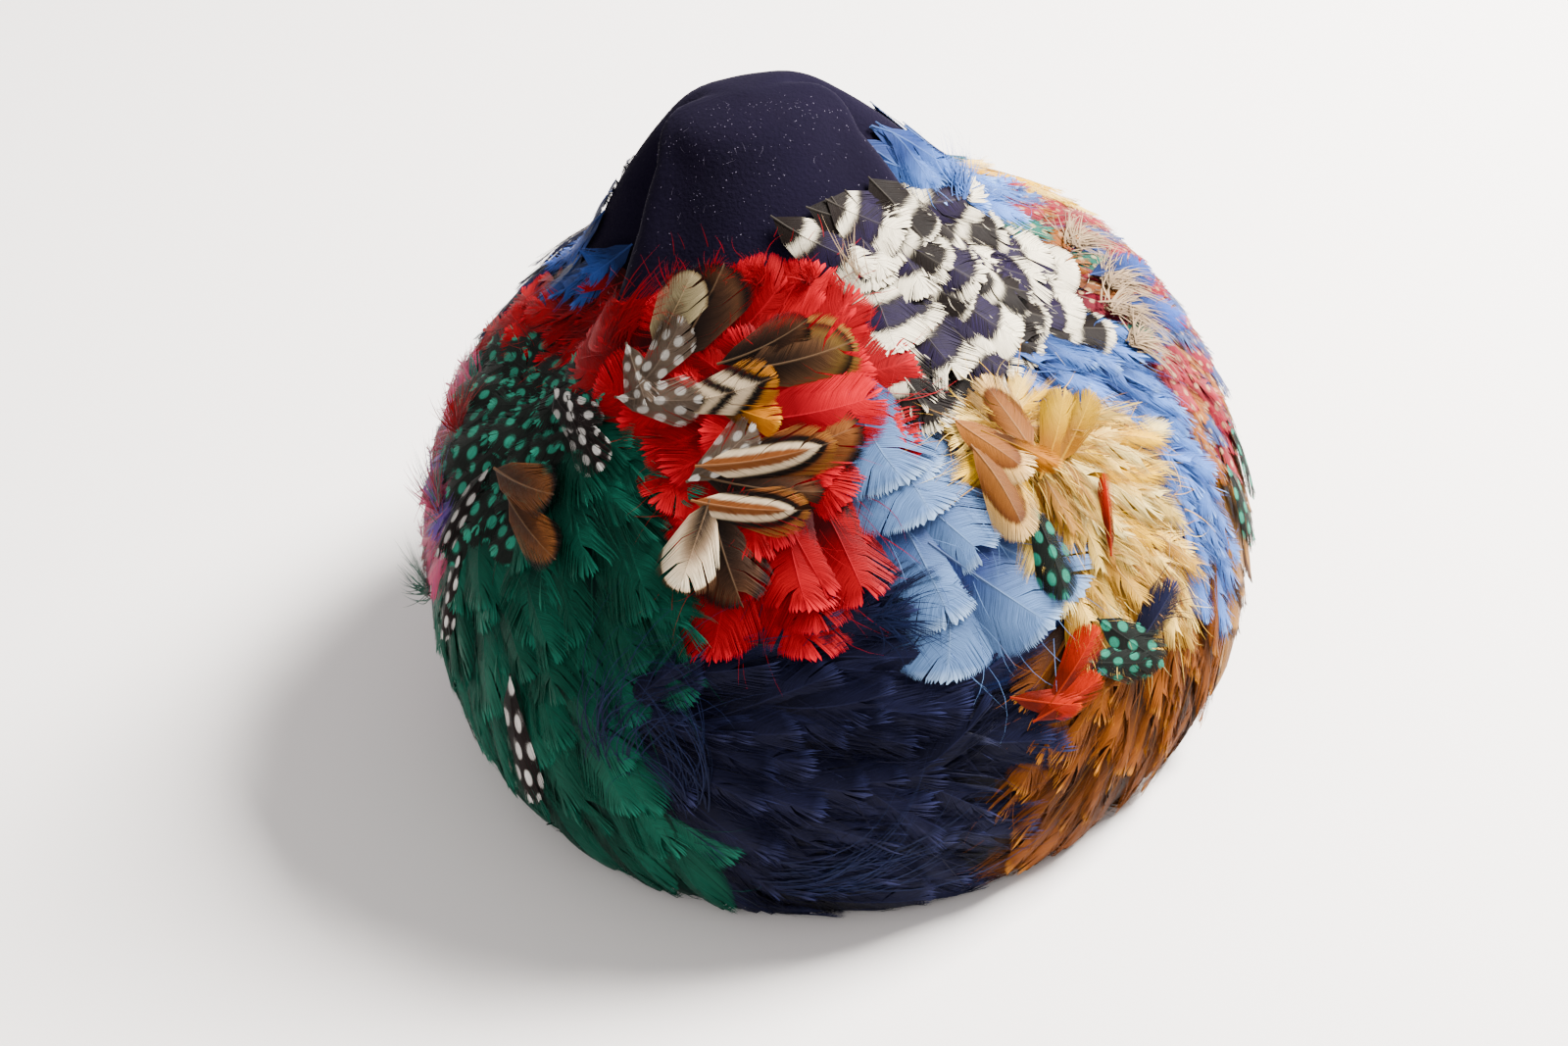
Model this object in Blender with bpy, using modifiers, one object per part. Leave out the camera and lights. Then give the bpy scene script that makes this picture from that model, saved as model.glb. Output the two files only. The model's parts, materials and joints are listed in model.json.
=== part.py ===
"""Feather hat: a felt toque with a pinched peak, covered by colour blocks of feathers.

Lengths are in metres. The front of the hat faces -Y and the peak points up +Z.
Angles are in degrees about the upright axis, 0 at the front and rising to the wearer's left, +X.
Levels count the rows of SECTIONS, from 0 at the head opening to the last row at the tip.
"""
import math
from collections import namedtuple

import bmesh
import bpy
import numpy as np

# Sizes that drive the hat
HAT_HEIGHT = 0.178
HALF_WIDTH = 0.118
FELT_THICKNESS = 0.002
FEATHER_DEPTH = 0.0052
THIN_SHARE = 0.22
FELT_CLEARANCE = 0.0008
PATCH_CLEARANCE = 0.0005

# Resolution of the felt and of the feather cover
FELT_SEGMENTS = 48
COVER_COLUMNS = 80
COVER_ROWS = 18
COVER_LEVELS = (2.35, 10.8)
FELT_LEVELS = (0, 1, 2, 3, 4, 5, 6, 7, 8, 8.5, 9, 9.5, 10, 10.5, 11, 11.5, 12, 12.5, 13, 13.5)

# Places of the two folds on each side of the peak, in degrees from the front
CREASE_ANGLE = 60.0
VALLEY_ANGLE = 83.0
RIDGE_ANGLE = 108.0
FOLD_SPREAD = 13.0

# Sections of the felt, from the turned-in edge of the head opening up to the tip.
# height is a share of HAT_HEIGHT, pleat a share of the section's own radius,
# the other columns are shares of HALF_WIDTH.
Section = namedtuple("Section", "height half_width front back lean pleat")
SECTIONS = (
    Section(0.0000, 0.745, -0.835, 0.765, 0.000, 0.00),
    Section(0.0000, 0.838, -0.920, 0.850, 0.000, 0.00),
    Section(0.0260, 0.915, -0.985, 0.920, 0.000, 0.00),
    Section(0.1040, 0.980, -1.015, 0.970, 0.000, 0.00),
    Section(0.2260, 1.000, -1.006, 1.002, 0.000, 0.00),
    Section(0.3540, 0.985, -0.930, 1.015, 0.000, 0.00),
    Section(0.4760, 0.910, -0.803, 0.980, 0.000, 0.00),
    Section(0.5720, 0.785, -0.676, 0.895, 0.000, 0.00),
    Section(0.6450, 0.630, -0.548, 0.772, -0.008, 0.06),
    Section(0.7120, 0.510, -0.421, 0.655, -0.010, 0.15),
    Section(0.7900, 0.415, -0.269, 0.570, -0.014, 0.26),
    Section(0.8680, 0.325, -0.116, 0.500, -0.018, 0.34),
    Section(0.9350, 0.240, 0.011, 0.440, -0.022, 0.28),
    Section(0.9820, 0.165, 0.113, 0.375, -0.025, 0.14),
    Section(1.0000, 0.004, 0.250, 0.258, -0.025, 0.00),
)

# Centres of the feather clusters as (angle, level); a patch is the felt nearest to its clusters.
# The clusters called bare leave the felt uncovered.
CLUSTERS = {
    "bare": ((0, 12.6), (-36, 11.9), (37, 11.9), (-53, 11.6), (55, 11.9), (80, 12.0), (-80, 12.0),
             (18, 12.3), (-18, 12.3), (84, 10.5), (-84, 10.0), (100, 12.0), (-104, 12.0), (125, 11.8), (-125, 11.8),
             (150, 11.8), (-150, 11.8), (180, 11.8)),
    "red_feathers": ((-53, 9.9), (-34, 10.3), (-13, 10.2), (6, 10.2), (21, 10.1), (17, 8.8), (-16, 9.0),
                     (-38, 9.0), (-2, 8.2), (6, 7.4), (-22, 7.3), (-9, 6.6)),
    "green_feathers": ((-47, 7.4), (-47, 6.3), (-35, 7.0), (-62, 5.2), (-44, 5.3), (-31, 5.9), (-74, 3.9),
                       (-61, 3.6), (-41, 4.2), (-33, 3.3), (-52, 2.6), (-68, 2.6)),
    "navy_feathers": ((-21, 5.1), (-9, 5.4), (2, 5.6), (-5, 4.6), (8, 4.7), (17, 4.5), (-19, 4.0), (0, 4.0),
                      (-20, 2.8), (-4, 2.8), (9, 3.0)),
    "light_blue_feathers": ((13, 7.2), (20, 6.3), (8, 6.5), (17, 5.6), (24, 5.6)),
    "tan_feathers": ((34, 7.7), (47, 6.9), (52, 5.9), (38, 6.0), (47, 5.0), (37, 5.1)),
    "orange_rim_feathers": ((27, 4.5), (36, 4.0), (21, 3.6), (41, 3.2), (18, 2.7), (31, 2.8), (50, 3.6)),
    "barred_feathers": ((45, 10.3), (86, 8.9), (82, 8.1), (36, 9.5), (49, 9.0), (60, 8.5), (31, 8.6),
                        (68, 7.8), (66, 9.6)),
    "blue_side_feathers": ((57, 7.6), (65, 6.7), (63, 5.6), (60, 4.6)),
    "rose_side_feathers": ((106, 7.5), (92, 6.8), (80, 6.3), (76, 5.4), (92, 5.6), (104, 6.4)),
    "gold_side_feathers": ((72, 4.2), (84, 4.2), (96, 4.2), (64, 3.0), (78, 2.8), (93, 2.8), (106, 4.6)),
    "spotted_green_feathers": ((-90, 7.2), (-80, 6.7), (-64, 8.1), (-72, 7.4), (-66, 6.6)),
    "wine_side_feathers": ((-96, 6.0), (-90, 5.2), (-100, 4.6), (-84, 5.8), (-94, 3.4), (-106, 5.4)),
    "blue_crown_feathers": ((-98, 10.0), (-102, 9.4), (-116, 9.0), (-118, 10.4)),
    "red_crown_feathers": ((-84, 8.8), (-94, 8.4), (-106, 7.9), (-73, 9.6)),
    "pale_blue_back_feathers": ((103, 10.0), (111, 8.9), (128, 9.6), (126, 8.4), (101, 10.3)),
    "tan_back_feathers": ((128, 6.6), (144, 5.6), (122, 4.8), (140, 4.0), (124, 3.0), (150, 2.8)),
    "green_back_feathers": ((152, 7.6), (170, 7.0), (178, 5.6), (168, 4.4), (176, 3.0), (-166, 6.4)),
    "red_back_feathers": ((150, 9.6), (172, 9.2), (-166, 9.6), (-146, 9.4), (-150, 8.2)),
    "navy_back_feathers": ((-128, 7.2), (-146, 6.4), (-122, 5.4), (-142, 4.6), (-162, 3.6), (-126, 3.2),
                           (-148, 2.8)),
}

# Colour, roughness and sheen of each piece
LOOKS = {
    "felt_body": ((0.030, 0.018, 0.070), 0.92, 0.6),
    "red_feathers": ((0.600, 0.012, 0.014), 0.55, 0.3),
    "green_feathers": ((0.008, 0.095, 0.062), 0.60, 0.3),
    "navy_feathers": ((0.012, 0.020, 0.085), 0.60, 0.3),
    "light_blue_feathers": ((0.150, 0.290, 0.560), 0.55, 0.3),
    "tan_feathers": ((0.640, 0.430, 0.210), 0.55, 0.3),
    "orange_rim_feathers": ((0.420, 0.170, 0.040), 0.60, 0.3),
    "barred_feathers": ((0.230, 0.190, 0.230), 0.50, 0.3),
    "blue_side_feathers": ((0.160, 0.290, 0.620), 0.60, 0.3),
    "rose_side_feathers": ((0.330, 0.040, 0.075), 0.60, 0.3),
    "gold_side_feathers": ((0.330, 0.160, 0.030), 0.55, 0.3),
    "spotted_green_feathers": ((0.020, 0.060, 0.045), 0.60, 0.3),
    "wine_side_feathers": ((0.160, 0.014, 0.040), 0.60, 0.3),
    "blue_crown_feathers": ((0.070, 0.130, 0.400), 0.60, 0.3),
    "red_crown_feathers": ((0.420, 0.016, 0.018), 0.60, 0.3),
    "pale_blue_back_feathers": ((0.260, 0.420, 0.700), 0.60, 0.3),
    "tan_back_feathers": ((0.520, 0.340, 0.170), 0.60, 0.3),
    "green_back_feathers": ((0.010, 0.100, 0.060), 0.60, 0.3),
    "red_back_feathers": ((0.450, 0.014, 0.016), 0.60, 0.3),
    "navy_back_feathers": ((0.014, 0.024, 0.100), 0.60, 0.3),
}


def section_at(level):
    """Section columns at any level, on a Catmull-Rom curve through the rows."""
    rows = np.array(SECTIONS)
    last = len(rows) - 1
    level = np.clip(np.asarray(level, dtype=float), 0, last)
    low = np.minimum(level.astype(int), last - 1)
    t = (level - low)[..., None]
    before = rows[np.maximum(low - 1, 0)]
    start = rows[low]
    end = rows[low + 1]
    after = rows[np.minimum(low + 2, last)]
    slope = end - before
    bend = 2 * before - 5 * start + 4 * end - after
    twist = 3 * start - before - 3 * end + after
    return start + 0.5 * t * (slope + t * (bend + t * twist))


def fold(angle):
    """Share of the pleat at an angle: out at the crease and the ridge, in at the valley."""
    side = np.abs((np.asarray(angle) + 180.0) % 360.0 - 180.0)
    crease = 0.35 * np.exp(-(((side - CREASE_ANGLE) / FOLD_SPREAD) ** 2))
    valley = np.exp(-(((side - VALLEY_ANGLE) / FOLD_SPREAD) ** 2))
    ridge = 0.30 * np.exp(-(((side - RIDGE_ANGLE) / FOLD_SPREAD) ** 2))
    return crease + ridge - valley


def felt_point(angle, level):
    """Point on the outer face of the felt at an angle and a level."""
    columns = np.moveaxis(section_at(level), -1, 0)
    row = Section(*columns)
    turn = np.radians(angle)
    reach = 1.0 + row.pleat * fold(angle)
    half_depth = (row.back - row.front) / 2
    middle = (row.back + row.front) / 2
    x = HALF_WIDTH * (row.lean + row.half_width * reach * np.sin(turn))
    y = HALF_WIDTH * (middle - half_depth * reach * np.cos(turn))
    z = HAT_HEIGHT * np.maximum(row.height, 0.0)
    return np.stack([x, y, z], axis=-1)


def raised_point(angle, level, lift):
    """Point raised off the felt by a lift along the felt's outward normal."""
    around = felt_point(angle + 0.5, level) - felt_point(angle - 0.5, level)
    upward = felt_point(angle, level + 0.05) - felt_point(angle, level - 0.05)
    normal = np.cross(around, upward)
    normal /= np.linalg.norm(normal, axis=-1, keepdims=True)
    return felt_point(angle, level) + lift * normal


def make_material(name):
    colour, roughness, sheen = LOOKS[name]
    material = bpy.data.materials.new(name)
    material.use_nodes = True
    shader = material.node_tree.nodes["Principled BSDF"]
    shader.inputs["Base Color"].default_value = (*colour, 1.0)
    shader.inputs["Roughness"].default_value = roughness
    shader.inputs["Metallic"].default_value = 0.0
    shader.inputs["Sheen Weight"].default_value = sheen
    material.diffuse_color = (*colour, 1.0)
    return material


def add_object(name, bm, collection):
    mesh = bpy.data.meshes.new(name)
    bm.to_mesh(mesh)
    bm.free()
    obj = bpy.data.objects.new(name, mesh)
    obj.data.materials.append(make_material(name))
    collection.objects.link(obj)
    return obj


def make_felt(collection):
    """Felt body: a sphere drawn onto the sections, open at the head and thickened inwards."""
    rings = len(FELT_LEVELS)
    bm = bmesh.new()
    bmesh.ops.create_uvsphere(bm, u_segments=FELT_SEGMENTS, v_segments=rings + 1, radius=1.0)
    bm.verts.ensure_lookup_table()
    ball = np.array([v.co for v in bm.verts])
    step = np.rint(np.arccos(np.clip(ball[:, 2], -1, 1)) * (rings + 1) / math.pi).astype(int)
    levels = np.array((len(SECTIONS) - 1,) + FELT_LEVELS[::-1] + (0,), dtype=float)[step]
    angles = np.degrees(np.arctan2(ball[:, 0], -ball[:, 1]))
    for vert, place in zip(bm.verts, felt_point(angles, levels)):
        vert.co = place
    bottom_pole = bm.verts[int(np.argmax(step))]
    bmesh.ops.delete(bm, geom=[bottom_pole], context="VERTS")
    felt = add_object("felt_body", bm, collection)
    shell = felt.modifiers.new("Thickness", "SOLIDIFY")
    shell.thickness = FELT_THICKNESS
    shell.offset = -1.0
    return felt


def nearest_patch(points):
    """Name of the patch whose cluster centre lies nearest to each point."""
    names = []
    centres = []
    for name, places in CLUSTERS.items():
        for angle, level in places:
            names.append(name)
            centres.append(felt_point(float(angle), float(level)))
    distance = np.linalg.norm(points[:, None, :] - np.array(centres)[None], axis=2)
    return [names[i] for i in np.argmin(distance, axis=1)]


def join_corners(labels):
    """Relabel faces so that no patch touches itself at a single corner."""
    rows, columns = labels.shape
    changed = True
    while changed:
        changed = False
        for r in range(rows - 1):
            for c in range(columns):
                d = (c + 1) % columns
                low, high = labels[r, c], labels[r + 1, d]
                left, right = labels[r + 1, c], labels[r, d]
                if low == high and low not in (left, right):
                    labels[r, d] = low
                    changed = True
                elif left == right and left not in (low, high):
                    labels[r, c] = left
                    changed = True
    return labels


def make_cover():
    """Open grid over the felt with the patch number of each face and the depth of each corner."""
    bm = bmesh.new()
    bmesh.ops.create_grid(bm, x_segments=COVER_COLUMNS, y_segments=COVER_ROWS, size=1.0)
    patch = bm.faces.layers.int.new("patch")
    depth = bm.verts.layers.float.new("depth")
    low, high = COVER_LEVELS
    places = np.array([v.co for v in bm.verts])
    angles = places[:, 0] * 180.0
    levels = low + (places[:, 1] + 1) / 2 * (high - low)
    # Lock tips alternate from column to column and from row to row, and flatten towards the peak.
    columns = np.rint((places[:, 0] + 1) / 2 * COVER_COLUMNS).astype(int)
    rows = np.rint((places[:, 1] + 1) / 2 * COVER_ROWS).astype(int)
    tips = ((rows + columns // 2) % 2) * (0.7 + 0.3 * (columns % 2))
    depths = (0.30 + 0.70 * tips) * np.clip((11.5 - levels) / 4.0, 0.2, 1.0)
    for vert, x, y, share in zip(bm.verts, angles, levels, depths):
        vert.co = (x, y, 0.0)
        vert[depth] = share
    bm.faces.ensure_lookup_table()
    centres = np.array([f.calc_center_median() for f in bm.faces])
    names = nearest_patch(felt_point(centres[:, 0], centres[:, 1]))
    order = list(CLUSTERS)
    face_column = np.floor((centres[:, 0] + 180.0) / 360.0 * COVER_COLUMNS).astype(int)
    face_row = np.floor((centres[:, 1] - low) / (high - low) * COVER_ROWS).astype(int)
    labels = np.zeros((COVER_ROWS, COVER_COLUMNS), dtype=int)
    labels[face_row, face_column] = [order.index(n) for n in names]
    labels = join_corners(labels)
    for face, r, c in zip(bm.faces, face_row, face_column):
        face[patch] = int(labels[r, c])
    smooth_borders(bm, patch)
    places = np.array([v.co for v in bm.verts])
    for vert, place in zip(bm.verts, raised_point(places[:, 0], places[:, 1], FELT_CLEARANCE)):
        vert.co = place
    bmesh.ops.remove_doubles(bm, verts=bm.verts[:], dist=1e-6)
    return bm


def smooth_borders(bm, patch):
    """Turn the steps between patches into slanting edges, in the plane of angle and level."""
    for _ in range(3):
        moved = {}
        for vert in bm.verts:
            edges = [e for e in vert.link_edges
                     if len(e.link_faces) == 2 and e.link_faces[0][patch] != e.link_faces[1][patch]]
            if len(edges) == 2 and not vert.is_boundary:
                ends = edges[0].other_vert(vert).co + edges[1].other_vert(vert).co
                moved[vert] = vert.co * 0.5 + ends * 0.25
        for vert, place in moved.items():
            vert.co = place


def make_patch(name, number, cover, collection):
    """One colour block: its faces of the cover, drawn in at the border and thickened outwards."""
    bm = cover.copy()
    patch = bm.faces.layers.int["patch"]
    depth = bm.verts.layers.float["depth"]
    others = [f for f in bm.faces if f[patch] != number]
    bmesh.ops.delete(bm, geom=others, context="FACES")
    border = [v for v in bm.verts if v.is_boundary]
    moved = []
    for vert in border:
        inward = sum((f.calc_center_median() for f in vert.link_faces), -vert.co * len(vert.link_faces))
        moved.append(vert.co + inward.normalized() * PATCH_CLEARANCE)
    for vert, place in zip(border, moved):
        vert.co = place
        vert[depth] = 0.0
    weights = [v[depth] for v in bm.verts]
    obj = add_object(name, bm, collection)
    group = obj.vertex_groups.new(name="depth")
    for index, weight in enumerate(weights):
        group.add([index], weight, "REPLACE")
    shell = obj.modifiers.new("Thickness", "SOLIDIFY")
    shell.thickness = FEATHER_DEPTH
    shell.offset = 1.0
    shell.vertex_group = "depth"
    shell.thickness_vertex_group = THIN_SHARE
    return obj


def main():
    for obj in list(bpy.data.objects):
        bpy.data.objects.remove(obj, do_unlink=True)
    collection = bpy.data.collections.new("feather_hat")
    bpy.context.scene.collection.children.link(collection)
    make_felt(collection)
    cover = make_cover()
    for number, name in enumerate(CLUSTERS):
        if name != "bare":
            make_patch(name, number, cover, collection)
    cover.free()


main()
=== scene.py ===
"""Feather hat: the felt with its peak, and every feather of the colour blocks.

Lengths are in metres. The front of the hat faces -Y and the peak points up +Z.
Angles are in degrees about the upright axis, 0 at the front and rising towards +X.
Levels count the rows of SECTIONS, from 0 at the head opening to the last row at the tip.
Headings are in degrees on the felt: 0 points down to the rim, 90 towards +X, 180 up to the peak.
"""
import json
import math
from collections import namedtuple

import bpy
import numpy as np
from bpy.props import FloatProperty, FloatVectorProperty, IntProperty, PointerProperty
from mathutils import Matrix, Vector

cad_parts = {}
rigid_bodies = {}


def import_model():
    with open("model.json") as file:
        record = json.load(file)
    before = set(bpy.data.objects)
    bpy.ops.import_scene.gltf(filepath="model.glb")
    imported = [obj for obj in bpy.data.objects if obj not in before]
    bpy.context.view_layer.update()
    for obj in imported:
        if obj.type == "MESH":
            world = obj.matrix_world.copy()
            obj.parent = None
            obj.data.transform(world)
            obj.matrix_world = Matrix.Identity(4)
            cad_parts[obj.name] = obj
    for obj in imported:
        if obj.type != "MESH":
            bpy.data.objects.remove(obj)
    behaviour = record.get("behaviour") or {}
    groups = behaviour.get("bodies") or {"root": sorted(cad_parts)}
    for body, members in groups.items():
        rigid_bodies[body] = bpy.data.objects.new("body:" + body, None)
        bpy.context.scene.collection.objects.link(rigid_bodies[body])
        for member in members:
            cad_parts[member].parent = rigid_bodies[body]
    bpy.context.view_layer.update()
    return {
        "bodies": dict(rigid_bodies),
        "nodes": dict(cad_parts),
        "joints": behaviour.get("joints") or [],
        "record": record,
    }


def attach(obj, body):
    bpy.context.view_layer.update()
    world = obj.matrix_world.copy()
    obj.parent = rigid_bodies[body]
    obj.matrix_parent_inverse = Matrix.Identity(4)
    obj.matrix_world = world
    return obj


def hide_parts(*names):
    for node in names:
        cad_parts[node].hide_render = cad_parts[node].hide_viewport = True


bl_info = {
    "name": "Feather hat",
    "version": (1, 0, 0),
    "blender": (4, 5, 0),
    "location": "View3D > Sidebar > Feather hat",
    "description": "Builds a felt toque covered in feathers",
    "category": "Object",
}

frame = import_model()

# Sizes of the felt, as in the part. The pleats' angles are in degrees, and the crease and the ridge stand out
# by shares of the valley's depth.
HAT_HEIGHT = 0.178
HALF_WIDTH = 0.118
FELT_THICKNESS = 0.002
CREASE_ANGLE = 60.0
VALLEY_ANGLE = 83.0
RIDGE_ANGLE = 108.0
FOLD_SPREAD = 13.0
CREASE_SHARE = 0.35
RIDGE_SHARE = 0.30

# Levels near the tip, and how far round the pleats have turned back there, in degrees
TIP_TURN = ((11, 12, 13), (0, 8, 40))

# Feathers, down and the sheet of painted shade under the feathers come no nearer than this to the floor
LOWEST_FEATHER = 0.0012

# A barb runs on by this share of the length that is left, and bends forward by this power. Its strip has an
# edge across at each of the steps, which are shares of the barb, and tilts a little so that strips overlap.
BARB_REACH = 0.70
BARB_BEND = 1.45
BARB_STEPS = (0.0, 0.42, 0.93, 1.0)
STRIP_TILT = 0.00003

# Largest value of a feather's outline, v^0.55 (1 - v^4)^0.5
OUTLINE_PEAK = 0.717

# Share of a feather's length at which it shows most
SHOWN = 0.8

# Marked feathers lie this much higher than their rows say, clear of the block's own feathers
OVER_BLOCK = 0.0009

# Marked feathers and wisps start their random numbers this far from the seed in the settings
MARKED_SEED = 900
WISP_SEED = 400

# Lint has a seed of its own
LINT_SEED = 5

# Where the lights and the camera point, and how far the picture is shifted, in shares of its width
LIT_POINT = (0.0, 0.0, 0.08)
AIM = (0.0, -0.0047, 0.070)
PICTURE_SHIFT = (-0.025, -0.037)

# height is a share of HAT_HEIGHT, pleat a share of the section's own radius,
# the other columns are shares of HALF_WIDTH. The rows are the part's, with a deeper pleat in the last but one.
Section = namedtuple("Section", "height half_width front back lean pleat")
SECTIONS = (
    Section(0.0000, 0.745, -0.835, 0.765, 0.000, 0.00),
    Section(0.0000, 0.838, -0.920, 0.850, 0.000, 0.00),
    Section(0.0260, 0.915, -0.985, 0.920, 0.000, 0.00),
    Section(0.1040, 0.980, -1.015, 0.970, 0.000, 0.00),
    Section(0.2260, 1.000, -1.006, 1.002, 0.000, 0.00),
    Section(0.3540, 0.985, -0.930, 1.015, 0.000, 0.00),
    Section(0.4760, 0.910, -0.803, 0.980, 0.000, 0.00),
    Section(0.5720, 0.785, -0.676, 0.895, 0.000, 0.00),
    Section(0.6450, 0.630, -0.548, 0.772, -0.008, 0.06),
    Section(0.7120, 0.510, -0.421, 0.655, -0.010, 0.15),
    Section(0.7900, 0.415, -0.269, 0.570, -0.014, 0.26),
    Section(0.8680, 0.325, -0.116, 0.500, -0.018, 0.34),
    Section(0.9350, 0.240, 0.011, 0.440, -0.022, 0.28),
    Section(0.9820, 0.165, 0.113, 0.375, -0.025, 0.20),
    Section(1.0000, 0.004, 0.250, 0.258, -0.025, 0.00),
)
TOP_LEVEL = len(SECTIONS) - 1

# Centres of the feather clusters as (angle, level); a block is the felt nearest to its clusters.
CLUSTERS = {
    "bare": (
        (0, 12.6), (-36, 11.9), (37, 11.9), (-53, 11.6), (55, 11.9), (80, 12.0), (-80, 12.0), (-70, 10.5),
        (-77, 9.8), (18, 12.3), (-18, 12.3), (84, 10.5), (-84, 10.0), (-90, 9.9), (-96, 10.3), (-108, 10.3),
        (-118, 10.8), (96, 11.0), (100, 12.0), (-104, 12.0), (125, 11.8), (-125, 11.8), (150, 11.8),
        (-150, 11.8), (180, 11.8)),
    "red_feathers": (
        (-58, 9.4), (-53, 9.9), (-34, 10.3), (-13, 10.2), (6, 10.2), (21, 10.1), (17, 8.8), (-16, 9.0),
        (-38, 9.0), (-2, 8.2), (6, 7.4), (-22, 7.3), (-9, 6.6), (0, 6.8)),
    "green_feathers": (
        (-47, 7.4), (-47, 6.3), (-35, 7.0), (-62, 5.2), (-44, 5.3), (-31, 5.9), (-74, 3.9), (-61, 3.6),
        (-41, 4.2), (-33, 3.3), (-52, 2.6), (-68, 2.6)),
    "navy_feathers": (
        (-21, 5.1), (-9, 5.4), (2, 5.8), (6, 6.0), (-5, 4.6), (8, 4.7), (17, 4.5), (-19, 4.0), (0, 4.0),
        (-20, 2.8), (-4, 2.8), (9, 3.0)),
    "light_blue_feathers": ((13, 7.3), (20, 6.3), (12, 6.6), (17, 5.5), (24, 5.6)),
    "tan_feathers": ((34, 7.7), (47, 6.9), (52, 5.9), (38, 6.0), (47, 5.0), (37, 5.1)),
    "orange_rim_feathers": ((27, 4.5), (36, 4.0), (21, 3.6), (41, 3.2), (18, 2.7), (31, 2.8), (50, 3.6)),
    "barred_feathers": (
        (45, 10.3), (86, 8.9), (82, 8.1), (36, 9.5), (49, 9.0), (60, 8.5), (31, 8.6), (68, 7.8), (66, 9.6)),
    "blue_side_feathers": ((57, 7.6), (65, 6.7), (63, 5.6), (60, 4.6)),
    "rose_side_feathers": ((106, 7.5), (92, 6.8), (80, 6.3), (76, 5.4), (92, 5.6), (104, 6.4)),
    "gold_side_feathers": ((72, 4.2), (84, 4.2), (96, 4.2), (64, 3.0), (78, 2.8), (93, 2.8), (106, 4.6)),
    "spotted_green_feathers": ((-90, 7.2), (-80, 6.7), (-64, 8.1), (-72, 7.4), (-66, 6.6)),
    "wine_side_feathers": ((-96, 6.0), (-90, 5.2), (-100, 4.6), (-84, 5.8), (-94, 3.4), (-106, 5.4)),
    "blue_crown_feathers": ((-106, 9.3), (-108, 8.9), (-118, 9.0), (-124, 9.6)),
    "red_crown_feathers": ((-84, 8.6), (-94, 8.3), (-106, 7.9), (-75, 8.8)),
    "pale_blue_back_feathers": ((104, 9.7), (111, 8.9), (128, 9.6), (126, 8.4)),
    "tan_back_feathers": ((128, 6.6), (144, 5.6), (122, 4.8), (140, 4.0), (124, 3.0), (150, 2.8)),
    "green_back_feathers": ((152, 7.6), (170, 7.0), (178, 5.6), (168, 4.4), (176, 3.0), (-166, 6.4)),
    "red_back_feathers": ((150, 9.6), (172, 9.2), (-166, 9.6), (-146, 9.4), (-150, 8.2)),
    "navy_back_feathers": (
        (-128, 7.2), (-146, 6.4), (-122, 5.4), (-142, 4.6), (-162, 3.6), (-126, 3.2), (-148, 2.8)),
}

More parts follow.
